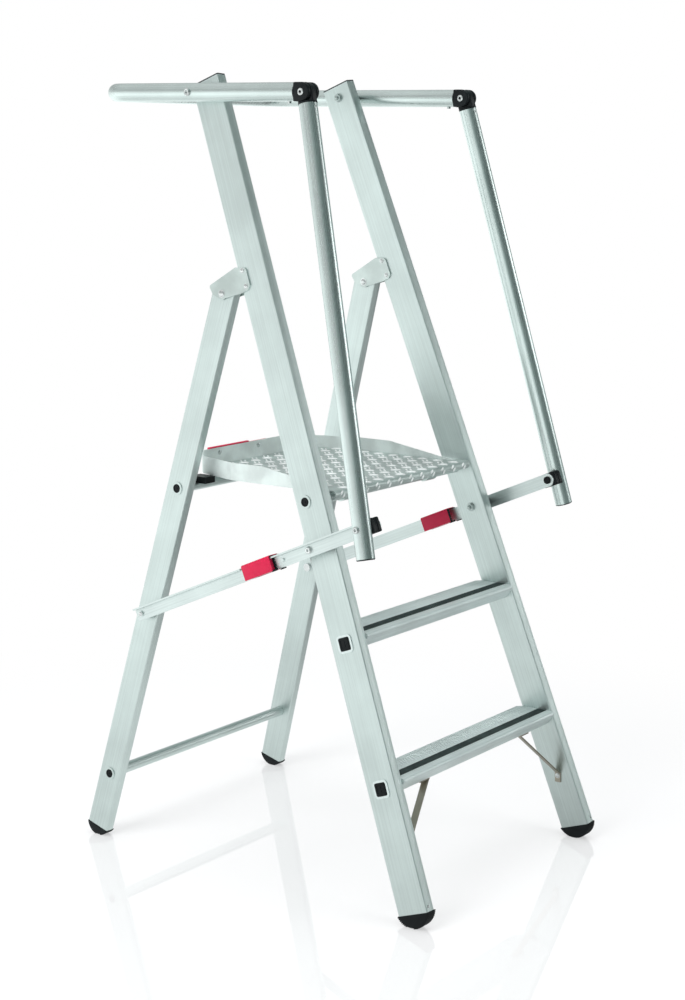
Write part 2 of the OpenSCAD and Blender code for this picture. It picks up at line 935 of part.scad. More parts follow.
module rear_foot() {
    difference() {
        intersection() {
            rod(0, base_w, leg_y(rear_h), rear_h, rear_foot_r);
            leg_frame()
                translate([-leg_t / 2 - foot_lip, -leg_w, leg_cut - 2 * rear_foot_r])
                    cube([leg_t + 2 * foot_lip, 2 * leg_w, 2 * rear_foot_r]);
        }
        translate([0, -far, -far])
            cube([far, 2 * far, far]);
    }
    leg_frame()
        translate([0, 0, leg_cut - foot_lip])
            linear_extrude(height = plug_len)
                square([leg_t - 2 * (box_wall + fix_gap), leg_w - 2 * (box_wall + fix_gap)], center = true);
}

module rear_feet() {
    color([0.07, 0.07, 0.08]) both_sides() rear_foot();
}

module leg_plugs() {
    color([0.07, 0.07, 0.08])
        both_sides() {
            end_plug(upper_y, upper_z, leg_out(upper_z) + collar_t + plug_proud);
            end_plug(lower_y, lower_z, leg_out(lower_z) + collar_t + plug_proud);
        }
}

module leg_spacers() {
    color([0.07, 0.07, 0.08])
        both_sides()
            difference() {
                rod(leg_in(foot_pivot_z), stay_x - open_gap, foot_y, foot_pivot_z, spacer_r);
                rod(0, base_w, foot_y, foot_pivot_z, bolt_r + fix_gap);
                leg_side(0);
            }
}

module leg_bolts() {
    color([0.72, 0.74, 0.74])
        both_sides() {
            rod(leg_in(foot_pivot_z) - head_h, stay_x - open_gap, foot_y, foot_pivot_z, bolt_r);
            intersection() {
                rod(leg_in(foot_pivot_z) - head_h, leg_out(foot_pivot_z), foot_y, foot_pivot_z, head_r);
                leg_side(leg_t);
            }
        }
}

// Platform
function half_plan(i) = [[deck_w / 2 - i, deck_front], [deck_w / 2 - i, shoulder_y],
    [corner_w / 2 - i, corner_y - i / 2], [rear_w / 2 - i, deck_rear - i]];
function plan(i) = concat(half_plan(i), [for (k = [3:-1:0]) [-half_plan(i)[k][0], half_plan(i)[k][1]]]);

module platform_deck() {
    color([0.74, 0.76, 0.76])
        union() {
            translate([0, 0, deck_low])
                linear_extrude(height = deck_t)
                    union() {
                        polygon([for (p = plan(toe_t + fix_gap)) [p[0], max(p[1], deck_front + nose_r)]]);
                        translate([-nose_half, deck_front + nose_r])
                            square([2 * nose_half, toe_start - fix_gap - deck_front - nose_r]);
                    }
            along_x(-nose_half, nose_half)
                translate([deck_front + nose_r, deck_z - nose_r])
                    difference() {
                        circle(nose_r);
                        circle(nose_r - deck_t);
                        translate([0, -nose_r])
                            square([nose_r, 2 * nose_r - deck_t]);
                    }
        }
}

module toe_board() {
    color([0.76, 0.78, 0.78])
        difference() {
            translate([0, 0, toe_base])
                linear_extrude(height = deck_z - toe_base + toe_h)
                    difference() {
                        polygon([for (p = plan(0)) [p[0], max(p[1], toe_start)]]);
                        polygon(plan(toe_t));
                    }
            along_x(-base_w, base_w)
                polygon([[pivot_y - far, deck_z], [toe_start, deck_z],
                    [pivot_y + toe_full, deck_z + toe_side], [corner_y, deck_z + toe_side],
                    [corner_y, deck_z + 2 * toe_h], [pivot_y - far, deck_z + 2 * toe_h]]);
            for (x = grip_studs)
                translate([x, deck_rear, deck_z + toe_h - grip_h / 2])
                    rotate([90, 0, 0])
                        cylinder(h = far, r = stud_r / 2 + fix_gap, center = true);
        }
}

module hinge_brackets() {
    color([0.7, 0.72, 0.72])
        both_sides()
            difference() {
                union() {
                    rod(bracket_x - bracket_w / 2, bracket_x + bracket_w / 2, pivot_y, pivot_z, bracket_r);
                    translate([bracket_x - bracket_w / 2, pivot_y - bracket_r, pivot_z])
                        cube([bracket_w, 2 * bracket_r, deck_low - pivot_z]);
                }
                rod(0, base_w, pivot_y, pivot_z, tube_r + run_gap);
            }
}

module platform_catches() {
    color([0.07, 0.07, 0.08])
        both_sides()
            difference() {
                union() {
                    translate([catch_x, upper_y - catch_len, upper_z + catch_rise])
                        cube([catch_w, catch_len, toe_base - upper_z - catch_rise]);
                    translate([catch_x, upper_y - catch_len, upper_z + catch_rise])
                        cube([corner_w / 2 - catch_x - toe_t - grip_t, catch_len,
                            deck_low - upper_z - catch_rise]);
                }
                rod(0, base_w, upper_y, upper_z, tube_r + open_gap);
            }
}

module platform_handle() {
    color([0.78, 0.1, 0.17])
        difference() {
            union() {
                translate([grip_x - grip_len / 2, deck_rear, deck_z + toe_h - grip_h])
                    cube([grip_len, grip_t, grip_h]);
                translate([grip_x - grip_len / 2, deck_rear - toe_t, deck_z + toe_h])
                    cube([grip_lip, toe_t + grip_t, grip_t]);
            }
            for (x = grip_studs)
                translate([x, deck_rear, deck_z + toe_h - grip_h / 2])
                    rotate([90, 0, 0])
                        cylinder(h = far, r = stud_r / 2 + fix_gap, center = true);
        }
}

module handle_rivets() {
    color([0.78, 0.8, 0.8])
        for (x = grip_studs)
            translate([x, deck_rear - toe_t, deck_z + toe_h - grip_h / 2])
                rotate([90, 0, 0]) {
                    cylinder(h = stud_r / 2, r = stud_r);
                    translate([0, 0, -toe_t - grip_t])
                        cylinder(h = toe_t + grip_t, r = stud_r / 2);
                    translate([0, 0, -toe_t - grip_t - stud_r / 2])
                        cylinder(h = stud_r / 2, r = stud_r);
                }
}

// Stays: a frame at the front bar's pivot with Y along the bar towards the leg
module stay_frame() {
    translate([0, stay_y, stay_z])
        rotate([-stay_dip, 0, 0])
            children();
}

module bar_web(x, y0, y1) {
    translate([x, y0, -stay_w / 2])
        cube([stay_t, y1 - y0, stay_w]);
    rod(x, x + stay_t, y0, 0, stay_w / 2);
    rod(x, x + stay_t, y1, 0, stay_w / 2);
}

module front_bar() {
    stop_y = sleeve_front - insert_len - sleeve_travel - rivet_r - stay_gap;
    color([0.8, 0.82, 0.81])
        stay_frame()
            difference() {
                union() {
                    bar_web(front_x, -stay_reach, stay_hinge);
                    translate([front_x, saddle_len - stay_reach, stay_w / 2 - stay_t])
                        cube([stay_t + flange_w, stay_hinge + stay_reach - saddle_len, stay_t]);
                    rod(stay_x - stay_gap / 2, front_x + stay_t + rivet_head_h / 2, stay_hinge, 0,
                        bolt_r - stay_gap);
                    rod(front_x + stay_t, front_x + stay_t + rivet_head_h, stop_y, 0, rivet_r);
                }
                rod(0, base_w, 0, 0, bolt_r + run_gap);
            }
}

module left_front_bar() {
    on_left() front_bar();
}

module right_front_bar() {
    front_bar();
}

module cap_nut() {
    color([0.07, 0.07, 0.08])
        stay_frame() {
            rod(front_x - head_h, front_x, -stay_reach, 0, head_r);
            translate([front_x - head_h, -stay_reach, 0])
                rotate([0, -90, 0])
                    cylinder(h = head_h / 2, r1 = head_r, r2 = bolt_r);
        }
}

module left_cap_nut() {
    on_left() cap_nut();
}

module right_cap_nut() {
    cap_nut();
}

module rear_bar() {
    color([0.8, 0.82, 0.81])
        stay_frame()
            difference() {
                union() {
                    bar_web(stay_x, stay_hinge, stay_span);
                    translate([stay_x, stay_hinge + stay_w, stay_w / 2 - stay_t])
                        cube([stay_t + flange_w, stay_span - stay_hinge - stay_w / 2, stay_t]);
                    translate([stay_x, stay_span, -stay_w / 2])
                        cube([stay_t, stay_w / 2, stay_w]);
                    rod(stay_x, stay_x + stay_t + head_h / 2, stay_span, 0, bolt_r);
                }
                rod(0, base_w, stay_hinge, 0, bolt_r - stay_gap + run_gap);
            }
}

module left_rear_bar() {
    on_left() rear_bar();
}

module right_rear_bar() {
    rear_bar();
}

module sleeve() {
    color([0.8, 0.1, 0.18])
        stay_frame()
            difference() {
                translate([sleeve_in - sleeve_wall, sleeve_front, sleeve_low])
                    cube([sleeve_out - sleeve_in + 2 * sleeve_wall, sleeve_len,
                        sleeve_top - sleeve_low + sleeve_wall]);
                translate([sleeve_in, sleeve_front - sleeve_len, sleeve_low - stay_w])
                    cube([sleeve_out - sleeve_in, 3 * sleeve_len, sleeve_top - sleeve_low + stay_w]);
            }
}

module left_sleeve() {
    on_left() sleeve();
}

module right_sleeve() {
    sleeve();
}

module insert() {
    color([0.07, 0.07, 0.08])
        stay_frame()
            difference() {
                translate([sleeve_in - sleeve_wall, sleeve_front - insert_len, sleeve_low])
                    cube([sleeve_out - sleeve_in + 2 * sleeve_wall, insert_len,
                        sleeve_top - sleeve_low + sleeve_wall / 2]);
                translate([front_x - sleeve_gap, sleeve_front - sleeve_len, sleeve_low - stay_w])
                    cube([stay_t + flange_w + 2 * sleeve_gap, 2 * sleeve_len,
                        sleeve_top - sleeve_low + stay_w]);
            }
}

module left_insert() {
    on_left() insert();
}

module right_insert() {
    insert();
}

// Guard rail: a frame at the rail's pivots with Y along the rail
module rail_place() {
    translate([0, rail_y, rail_z])
        rotate([rail_tilt, 0, 0])
            children();
}

module rail_solid(r) {
    for (s = [-1, 1]) {
        translate([s * rail_x, rail_stub - rail_front, 0])
            rotate([-90, 0, 0])
                cylinder(h = rail_front - rail_stub + rail_back - bend_r, r = r);
        translate([s * (rail_x - bend_r), rail_back - bend_r, 0])
            rotate([0, 0, 45 - s * 45])
                rotate_extrude(angle = 90)
                    translate([bend_r, 0])
                        circle(r);
    }
    translate([bend_r - rail_x, rail_back, 0])
        rotate([0, 90, 0])
            cylinder(h = 2 * (rail_x - bend_r), r = r);
}

module guard_rail() {
    color([0.8, 0.82, 0.81])
        difference() {
            rail_place()
                difference() {
                    rail_solid(rail_r);
                    rail_solid(rail_r - rail_wall);
                }
            rod(-base_w, base_w, rail_y, rail_z, bolt_r + run_gap);
        }
}

module rail_knuckle() {
    difference() {
        union() {
            translate([rail_x, -rail_front, 0])
                rotate([0, 90, 0])
                    cylinder(h = 2 * rail_r, r = rail_r, center = true);
            translate([rail_x - rail_r, -rail_front, -rail_r])
                cube([2 * rail_r, rail_stub - ring_t, 2 * rail_r]);
            translate([rail_x, rail_stub - ring_t - rail_front, 0])
                rotate([-90, 0, 0])
                    cylinder(h = ring_t, r = rail_r);
            translate([rail_x, rail_stub - ring_t - rail_front, 0])
                rotate([-90, 0, 0])
                    cylinder(h = plug_len, r = rail_r - rail_wall - fix_gap);
        }
        translate([rail_x - tongue_t / 2 - knuckle_gap, -rail_front - 2 * rail_r, -2 * rail_r])
            cube([tongue_t + 2 * knuckle_gap, 2 * rail_r + rail_stub - ring_t, 4 * rail_r]);
        translate([rail_x, -rail_front, 0])
            rotate([0, 90, 0])
                cylinder(h = far, r = bolt_r + fix_gap, center = true);
    }
}

module rail_knuckles() {
    color([0.06, 0.06, 0.07]) rail_place() both_sides() rail_knuckle();
}

module knuckle_bolts() {
    color([0.75, 0.77, 0.77])
        rail_place()
            both_sides() {
                rod(rail_x - rail_r - head_h / 2, rail_x + rail_r + head_h / 2, -rail_front, 0, bolt_r);
                rod(rail_x + rail_r, rail_x + rail_r + head_h / 2, -rail_front, 0, head_r);
                rod(rail_x - rail_r - head_h / 2, rail_x - rail_r, -rail_front, 0, head_r);
            }
}

module rail_studs() {
    color([0.72, 0.74, 0.74])
        rail_place()
            both_sides()
                difference() {
                    translate([rail_x, 2 * rail_stub - rail_front, -rail_r - peg_h])
                        cylinder(h = 2 * peg_h, r = peg_r);
                    rail_solid(rail_r);
                }
}

// Gate tubes: a frame at the knuckle with Z up along the tube
module gate_frame() {
    translate([rail_x, knuckle_y, knuckle_z])
        rotate([-gate_a, gate_b, 0])
            children();
}

module gate_tube() {
    color([0.8, 0.82, 0.81])
        difference() {
            gate_frame()
                translate([0, 0, -gate_len - gate_tail])
                    linear_extrude(height = gate_len + gate_tail - gate_stub)
                        difference() {
                            circle(rail_r);
                            circle(rail_r - rail_wall);
                        }
            rod(0, base_w, bolt_y, bolt_z, bolt_r + fix_gap);
        }
}

module left_gate_tube() {
    on_left() gate_tube();
}

module right_gate_tube() {
    gate_tube();
}

module gate_knuckle() {
    color([0.06, 0.06, 0.07])
        difference() {
            union() {
                rod(rail_x - tongue_t / 2, rail_x + tongue_t / 2, knuckle_y, knuckle_z, rail_r);
                intersection() {
                    gate_frame()
                        translate([-2 * rail_r, -rail_r, ring_t / 2 - gate_stub])
                            cube([4 * rail_r, 2 * rail_r, gate_stub]);
                    translate([rail_x - tongue_t / 2, -far, 0])
                        cube([tongue_t, 2 * far, 2 * far]);
                }
                gate_frame() {
                    translate([0, 0, -gate_stub])
                        cylinder(h = ring_t, r = rail_r);
                    translate([0, 0, -gate_stub - plug_len])
                        cylinder(h = plug_len + ring_t / 2, r = rail_r - rail_wall - fix_gap);
                }
            }
            rod(0, base_w, knuckle_y, knuckle_z, bolt_r + run_gap);
        }
}

module left_gate_knuckle() {
    on_left() gate_knuckle();
}

module right_gate_knuckle() {
    gate_knuckle();
}

module saddle() {
    color([0.06, 0.06, 0.07])
        difference() {
            translate([front_x + stay_t + open_gap, bolt_y, bolt_z])
                rotate([-stay_dip, 0, 0])
                    translate([0, -saddle_len / 2, -saddle_h / 2])
                        cube([gate_x - front_x - stay_t - open_gap, saddle_len, saddle_h]);
            gate_frame()
                translate([0, 0, -2 * gate_len])
                    cylinder(h = 2 * gate_len, r = rail_r);
            rod(0, base_w, bolt_y, bolt_z, bolt_r + fix_gap);
            translate([gate_x - rail_r / 2, -far, 0])
                cube([far, 2 * far, 2 * far]);
        }
}

module left_saddle() {
    on_left() saddle();
}

module right_saddle() {
    saddle();
}

module gate_cap() {
    color([0.06, 0.06, 0.07])
        gate_frame() {
            translate([0, 0, -gate_len - gate_tail - ring_t])
                cylinder(h = ring_t, r = rail_r);
            translate([0, 0, -gate_len - gate_tail - ring_t / 2])
                cylinder(h = plug_len, r = rail_r - rail_wall - fix_gap);
        }
}

module left_gate_cap() {
    on_left() gate_cap();
}

module right_gate_cap() {
    gate_cap();
}

module gate_screw() {
    color([0.72, 0.74, 0.74]) {
        rod(front_x + stay_t + 2 * open_gap, gate_x + rail_r + head_h, bolt_y, bolt_z, bolt_r);
        difference() {
            rod(gate_x, gate_x + rail_r + head_h, bolt_y, bolt_z, head_r);
            gate_frame()
                translate([0, 0, -2 * gate_len])
                    cylinder(h = 2 * gate_len, r = rail_r + fix_gap);
        }
    }
}

module left_gate_screw() {
    on_left() gate_screw();
}

module right_gate_screw() {
    gate_screw();
}

left_stile();
right_stile();
stile_caps();
front_feet();
lower_tread();
upper_tread();
grip_strips();
tread_plugs();
pivot_tube();
pivot_plugs();
left_hinge_plates();
right_hinge_plates();
hinge_rivets();
leg_pins();
left_brace();
right_brace();
small_rivets();
stay_spacers();
stay_bolts();
rail_spacers();
rail_bolts();
left_leg();
right_leg();
upper_cross_tube();
lower_cross_bar();
rear_feet();
leg_plugs();
leg_spacers();
leg_bolts();
platform_deck();
toe_board();
hinge_brackets();
platform_catches();
platform_handle();
handle_rivets();
left_front_bar();
right_front_bar();
left_cap_nut();
right_cap_nut();
left_rear_bar();
right_rear_bar();
left_sleeve();
right_sleeve();
left_insert();
right_insert();
guard_rail();
rail_knuckles();
knuckle_bolts();
rail_studs();
left_gate_tube();
right_gate_tube();
left_gate_knuckle();
right_gate_knuckle();
left_saddle();
right_saddle();
left_gate_cap();
right_gate_cap();
left_gate_screw();
right_gate_screw();
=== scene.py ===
# %% [markdown]
# # A folding podium step, dressed for its portrait
# The solids of the step come in as a fixed frame: two leaning stiles with treads, a rear frame, a
# platform that tilts up, folding stays with red locks, and a guard rail with two hanging tubes.
# We keep every solid where it is, give each one a finish, and add what the solids leave out: ribs
# on the treads, bumps on the platform, domed rivets, toothed rubber feet and rounded mouldings.

# %% The frame
import json
from math import asin, atan, atan2, cos, pi, radians, sin, sqrt, tan

import bmesh
import bpy
from mathutils import Euler, Matrix, Vector


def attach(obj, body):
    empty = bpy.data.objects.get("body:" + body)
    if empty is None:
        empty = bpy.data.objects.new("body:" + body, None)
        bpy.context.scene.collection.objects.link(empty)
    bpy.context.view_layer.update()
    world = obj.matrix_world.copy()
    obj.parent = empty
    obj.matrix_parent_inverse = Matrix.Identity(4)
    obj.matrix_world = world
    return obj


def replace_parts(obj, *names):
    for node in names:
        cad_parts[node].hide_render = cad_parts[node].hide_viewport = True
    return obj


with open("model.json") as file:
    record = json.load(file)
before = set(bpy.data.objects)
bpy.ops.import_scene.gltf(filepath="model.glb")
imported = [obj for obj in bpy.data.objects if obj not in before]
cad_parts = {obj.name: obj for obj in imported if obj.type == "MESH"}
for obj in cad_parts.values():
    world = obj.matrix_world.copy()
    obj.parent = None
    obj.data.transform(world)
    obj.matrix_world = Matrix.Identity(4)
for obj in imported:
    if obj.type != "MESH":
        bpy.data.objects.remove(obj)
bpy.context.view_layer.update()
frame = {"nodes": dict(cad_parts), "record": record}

scene = bpy.context.scene
scene.view_settings.view_transform = "Standard"

# %% [markdown]
# ## The camera
# A product photograph is taken from a few metres away, at about the height of the guard rail, so
# that the uprights stay nearly parallel. The place and the lens were found by fitting the edges of
# the stiles and legs to the picture, so they are typed in here as they came out.

# %% The camera
def add_object(name, data):
    made = bpy.data.objects.new(name, data)
    scene.collection.objects.link(made)
    return made


view = add_object("camera", bpy.data.cameras.new("camera"))
view.location = (-2.7934, -2.1108, 1.3021)
view.rotation_euler = (radians(90 - 10.362), 0, radians(-53.045))
view.data.sensor_width = 24
view.data.lens = 45.4536
scene.camera = view
print("camera at", tuple(view.location))

# %% [markdown]
# ## Sizes that the pieces share
# The added pieces sit on the solids, so they use the same sizes, in millimetres. From the lean and
# the taper of a stile we work out small frames, one on each tilted member, and build every piece in
# the frame of the member that carries it. The left side is the right side seen in a mirror.

# %% Sizes
base_w, base_len, stile_lean, stile_taper = 571.8, 766.0, radians(20.2), radians(3.37)
stile_w, stile_t, foot_lip, foot_flat, foot_drop = 62.3, 22.0, 1.0, 0.7, 11.0
foot_r, rear_foot_r, leg_inset, leg_w, leg_t = 35.6, 28.4, 8.9, 50.0, 19.4
hinge_z, hinge_back, rail_z, stile_over = 1057.5, 82.0, 1408.0, 21.0
tread_tops, tread_depth, tread_ahead = (248.5, 488.5), 78.0, 32.0
tang_drop, strip_at, strip_w, strip_proud, tread_chamfer = 18.5, 17.0, 18.0, 0.6, 10.0
pivot_z, deck_z, stay_z, foot_pivot_z = 706.3, 725.0, 632.0, 458.0
rise = tan(stile_lean)
lean_back = (base_len - hinge_back - rise * hinge_z) / hinge_z
shift = (foot_r * (1 - rise) - rear_foot_r * (1 - lean_back)) / 2
front_y, rear_y = shift - base_len / 2, shift + base_len / 2
stile_rx = atan(rise * cos(stile_taper))
stile_up = cos(stile_rx) * cos(stile_taper)


def stile_y(z):
    return front_y + z * rise


def stile_out(z):
    return base_w / 2 - z * tan(stile_taper)


def stile_in(z):
    return stile_out(z) - stile_t / cos(stile_taper)


hinge_mid = stile_out(hinge_z) - stile_t / 2 / cos(stile_taper)
leg_taper = atan((base_w / 2 - leg_inset - hinge_mid - leg_t / 2) / hinge_z)
leg_rx = atan(lean_back * cos(leg_taper))
leg_up = cos(leg_rx) * cos(leg_taper)


def leg_y(z):
    return rear_y - z * lean_back


def leg_out(z):
    return hinge_mid + leg_t / 2 + (hinge_z - z) * tan(leg_taper)


print("stile top at y", round(stile_y(rail_z + stile_over), 1), "leg taper", round(leg_taper, 4))

# %% Frames on the members
to_metres = Matrix.Scale(0.001, 4)
mirror_x = Matrix.Diagonal((-1, 1, 1, 1))


def turn(angle, axis):
    return Matrix.Rotation(angle, 4, axis)


def at(x, y, z):
    return Matrix.Translation((x, y, z))


stay_off, stay_gap, stay_t, flange_w, stay_w = 19.3, 1.0, 3.0, 7.0, 25.0
stay_hinge, stay_reach = 144.0, 150.0
rail_r, rail_off, knuckle_ahead, knuckle_drop = 16.0, 38.0, 251.0, 4.0
gate_off, gate_tail, pivot_back = 34.3, 51.0, 10.0
stay_x = stile_out(stay_z) + stay_off
front_x = stay_x + stay_t + flange_w + stay_gap
web = front_x + stay_t
stay_y, foot_y = stile_y(stay_z), leg_y(foot_pivot_z)
stay_dip = atan2(stay_z - foot_pivot_z, foot_y - stay_y)
bolt_y = stay_y - stay_reach * cos(stay_dip)
bolt_z = stay_z + stay_reach * sin(stay_dip)
rail_x, rail_y = stile_out(rail_z) + rail_off, stile_y(rail_z)
knuckle_y, knuckle_z = rail_y - knuckle_ahead, rail_z - knuckle_drop
rail_tilt = atan2(knuckle_drop, knuckle_ahead)
rail_front = sqrt(knuckle_ahead ** 2 + knuckle_drop ** 2)
gate_x = web + gate_off
gate_way = Vector((gate_x - rail_x, bolt_y - knuckle_y, bolt_z - knuckle_z))
gate_len = gate_way.length
gate_a, gate_b = asin(-gate_way.y / gate_len), atan2(-gate_way.x, -gate_way.z)
pivot_y = stile_y(pivot_z) + pivot_back
hinge_y = stile_y(hinge_z) + hinge_back

on_stile = (at(base_w / 2 - stile_t / 2 / cos(stile_taper), front_y, 0)
            @ turn(-stile_taper, "Y") @ turn(-stile_rx, "X"))
on_leg = (at(leg_out(0) - leg_t / 2 / cos(leg_taper), rear_y, 0)
          @ turn(-leg_taper, "Y") @ turn(leg_rx, "X"))
on_stay = at(0, stay_y, stay_z) @ turn(-stay_dip, "X")
on_rail = at(0, rail_y, rail_z) @ turn(rail_tilt, "X")
on_gate = at(rail_x, knuckle_y, knuckle_z) @ turn(gate_b, "Y") @ turn(-gate_a, "X")
on_plate = (at(base_w / 2, 0, 0) @ turn(-stile_taper, "Y")
            @ at(0, hinge_y, hinge_z / cos(stile_taper)) @ turn(-stile_lean, "X"))
sides = (("left", mirror_x), ("right", Matrix.Identity(4)))
print("stay dips", round(stay_dip, 4), "gate tube length", round(gate_len, 1))

# %% [markdown]
# ## A helper for shader maths
# A finish or a room is a net of small nodes, and written one by one they hide the sum they make. So
# one class wraps a node's output: ordinary sums on it add the Math nodes, and one method makes any
# other node.

# %% A helper for shader maths
class Wire:
    """One output of a finish's nodes. Sums and products of wires add their own Math nodes."""

    def __init__(self, tree, socket=None):
        self.tree, self.socket = tree, socket

    def node(self, kind, settings, sockets, out=0):
        made = self.tree.nodes.new(kind)
        for key, value in settings.items():
            if key == "stops":
                ramp = made.color_ramp.elements
                ramp[0].position, ramp[0].color = value[0]
                ramp[1].position, ramp[1].color = value[1]
            else:
                setattr(made, key, value)
        for key, value in sockets.items():
            if isinstance(value, Wire):
                self.tree.links.new(value.socket, made.inputs[key])
            else:
                made.inputs[key].default_value = value
        return Wire(self.tree, made.outputs[out]) if len(made.outputs) else None

    def maths(self, operation, first, second):
        return self.node("ShaderNodeMath", {"operation": operation}, {0: first, 1: second})

    def __add__(self, other):
        return self.maths("ADD", self, other)

    def __sub__(self, other):
        return self.maths("SUBTRACT", self, other)

    def __rsub__(self, other):
        return self.maths("SUBTRACT", other, self)

    def __mul__(self, other):
        return self.maths("MULTIPLY", self, other)

    __radd__, __rmul__ = __add__, __mul__

    def blend(self, first, second):
        """The first colour where this wire is 0, the second where it is 1."""
        return self.node("ShaderNodeMix", {"data_type": "RGBA"}, {"Factor": self, 6: first, 7: second}, 2)

    def steps(self, low, high):
        """0 below low and 1 above high."""
        return self.node("ShaderNodeMapRange", {"interpolation_type": "SMOOTHSTEP"},
                         {"Value": self, "From Min": low, "From Max": high})


def start_finish(name):
    """An empty material, and the wire of its object coordinates."""
    made = bpy.data.materials.new(name)
    made.use_nodes = True
    made.node_tree.nodes.clear()
    wire = Wire(made.node_tree)
    return made, wire.node("ShaderNodeTexCoord", {}, {}, "Object")


def mixed(wire, share, first, second):
    """The first shader where share is 0, the second where it is 1."""
    return wire.node("ShaderNodeMixShader", {}, {0: share, 1: first, 2: second})


def ray(wire, kind):
    """1 for rays of one kind, and 0 for the rest."""
    return wire.node("ShaderNodeLightPath", {}, {}, "Is %s Ray" % kind)


def towards(wire, spot, way):
    """How far a point or a ray goes in a level direction."""
    return wire.node("ShaderNodeVectorMath", {"operation": "DOT_PRODUCT"}, {0: spot, 1: (*way, 0)}, "Value")


print("shader helpers ready")

# %% [markdown]
# ## Light and background
# Metal has hardly any colour of its own: what shows on it is the room it stands in. The room could
# be built from planes, but a few sums on the direction of a ray are lighter and easier to tune. The
# walls are pale, darker and greener towards the front right, where a bright pane stands for a soft
# box, and they fade upwards to a dim ceiling. That is what mirrors see. The camera sees plain white,
# and matt surfaces get an even soft light, so that their colours stay as they are written.

# %% The room that the metal sees
world = bpy.data.worlds.new("studio")
scene.world = world
world.use_nodes = True
world.node_tree.nodes.clear()
sky = Wire(world.node_tree)
dark_way, pane_way, floor_dark_way = (0.45, -0.9), (0.783, -0.622), (0.6, -0.8)
mirror_ray = ray(sky, "Glossy") + ray(sky, "Transmission")
look = sky.node("ShaderNodeTexCoord", {}, {}, "Generated")
height = sky.node("ShaderNodeSeparateXYZ", {}, {"Vector": look}, "Z")
dark_side = towards(sky, look, dark_way).steps(-0.4, 0.75)
wall = 1.06 - 0.83 * dark_side
pane_low, pane_top = height.steps(0.08, 0.18), 1 - height.steps(0.24, 0.34)
window = 3.4 * towards(sky, look, pane_way).steps(0.93, 0.975) * pane_low * pane_top
fade = 1 - 0.43 * height.steps(-0.02, 0.2) - 0.12 * height.steps(0.22, 0.36)
level = wall * fade + 0.2 * height.steps(0.35, 0.75)
print("the room's tones are set")

# %% The world
def backdrop(colour, strength):
    return sky.node("ShaderNodeBackground", {}, {"Color": colour, "Strength": strength})


plain_white = (1, 1, 1, 1)
soft = backdrop((0.93, 0.97, 1.0, 1), 0.45)
tint = dark_side.blend((0.96, 1.0, 0.99, 1), (0.72, 1.0, 0.95, 1))
walls = sky.node("ShaderNodeAddShader", {}, {0: backdrop(tint, level), 1: backdrop(plain_white, window)})
inside = mixed(sky, mirror_ray.steps(0.1, 0.9), soft, walls)
shown_white = (ray(sky, "Camera") + ray(sky, "Singular")).steps(0.1, 0.9)
both = mixed(sky, shown_white, inside, backdrop(plain_white, 1.0))
sky.node("ShaderNodeOutputWorld", {}, {"Surface": both})
print("world nodes:", len(world.node_tree.nodes))

# %% [markdown]
# ## Lamps
# Three large square lamps give the soft shadows: one to the left of the camera, one in front and one
# above. Smaller lamps would draw hard edges under the treads. Mirrors don't see them, because the
# room above already holds what a mirror should show.

# %% Lamps
def soft_lamp(name, place, aim, size, watts):
    lamp = bpy.data.lights.new(name, "AREA")
    lamp.shape, lamp.size, lamp.size_y, lamp.energy = "RECTANGLE", size[0], size[1], watts
    made = add_object(name, lamp)
    made.location = place
    made.rotation_euler = (Vector(aim) - Vector(place)).to_track_quat("-Z", "Y").to_euler()
    made.visible_camera = made.visible_glossy = False


soft_lamp("key_lamp", (-3.2, 0.6, 2.6), (0, 0, 0.6), (2.4, 2.4), 120)
soft_lamp("front_lamp", (0.6, -3.6, 2.2), (0, 0, 0.7), (2.0, 2.4), 55)
soft_lamp("top_lamp", (0.3, 0.2, 4.0), (0, 0, 0.5), (2.5, 2.5), 60)

# %% [markdown]
# ## The floor
# The step stands on a polished white sweep. A matt card mixed with a white glow takes the shadow, and
# a thin sharp polish on top gives the faint mirror image under the feet. The camera sees the card fade
# to plain white about a metre out, as it does on a sweep that curves up behind the object. The metal
# sees the same floor as pale rings, brighter far out and dimmer to the front right.

# %% Floor
floor_mesh = bpy.data.meshes.new("floor")
floor_half = 12
floor_corners = [(x * floor_half, y * floor_half, 0) for x, y in ((-1, -1), (1, -1), (1, 1), (-1, 1))]
floor_mesh.from_pydata(floor_corners, [], [(0, 1, 2, 3)])
floor = add_object("floor", floor_mesh)
floor_mat, spot = start_finish("studio_floor")
ground = Wire(floor_mat.node_tree)
away = ground.node("ShaderNodeVectorMath", {"operation": "LENGTH"}, {0: spot}, "Value")
card = ground.node("ShaderNodeBsdfPrincipled", {},
                   {"Base Color": (0.93, 0.935, 0.94, 1), "Roughness": 0.6, "IOR": 1.3})
glow = ground.node("ShaderNodeEmission", {}, {"Color": plain_white, "Strength": 1.0})
polish = ground.node("ShaderNodeBsdfGlossy", {}, {"Color": plain_white, "Roughness": 0.0})
bright = mixed(ground, 0.16, mixed(ground, 0.55, card, glow), polish)
seen = ray(ground, "Camera")
sweep = mixed(ground, seen * away.steps(0.55, 1.6), mixed(ground, seen, card, bright), glow)
print("floor nodes so far:", len(floor_mat.node_tree.nodes))

# %% The floor as the metal sees it
mirrored = ray(ground, "Glossy") + ray(ground, "Transmission")
front_right = towards(ground, spot, floor_dark_way).steps(-0.2, 0.9)
rings = 0.84 + 0.48 * away.steps(0.9, 3.4)
dim = 0.78 - 0.23 * away.steps(0.6, 1.8) + 0.33 * away.steps(2.2, 4.5)
mirror = ground.node("ShaderNodeEmission", {}, {"Color": (0.95, 1.0, 0.99, 1),
                                                "Strength": rings * (1 - front_right * dim)})
ground.node("ShaderNodeOutputMaterial", {}, {"Surface": mixed(ground, mirrored, sweep, mirror)})
floor_mesh.materials.append(floor_mat)
print("floor", floor.dimensions[:2])

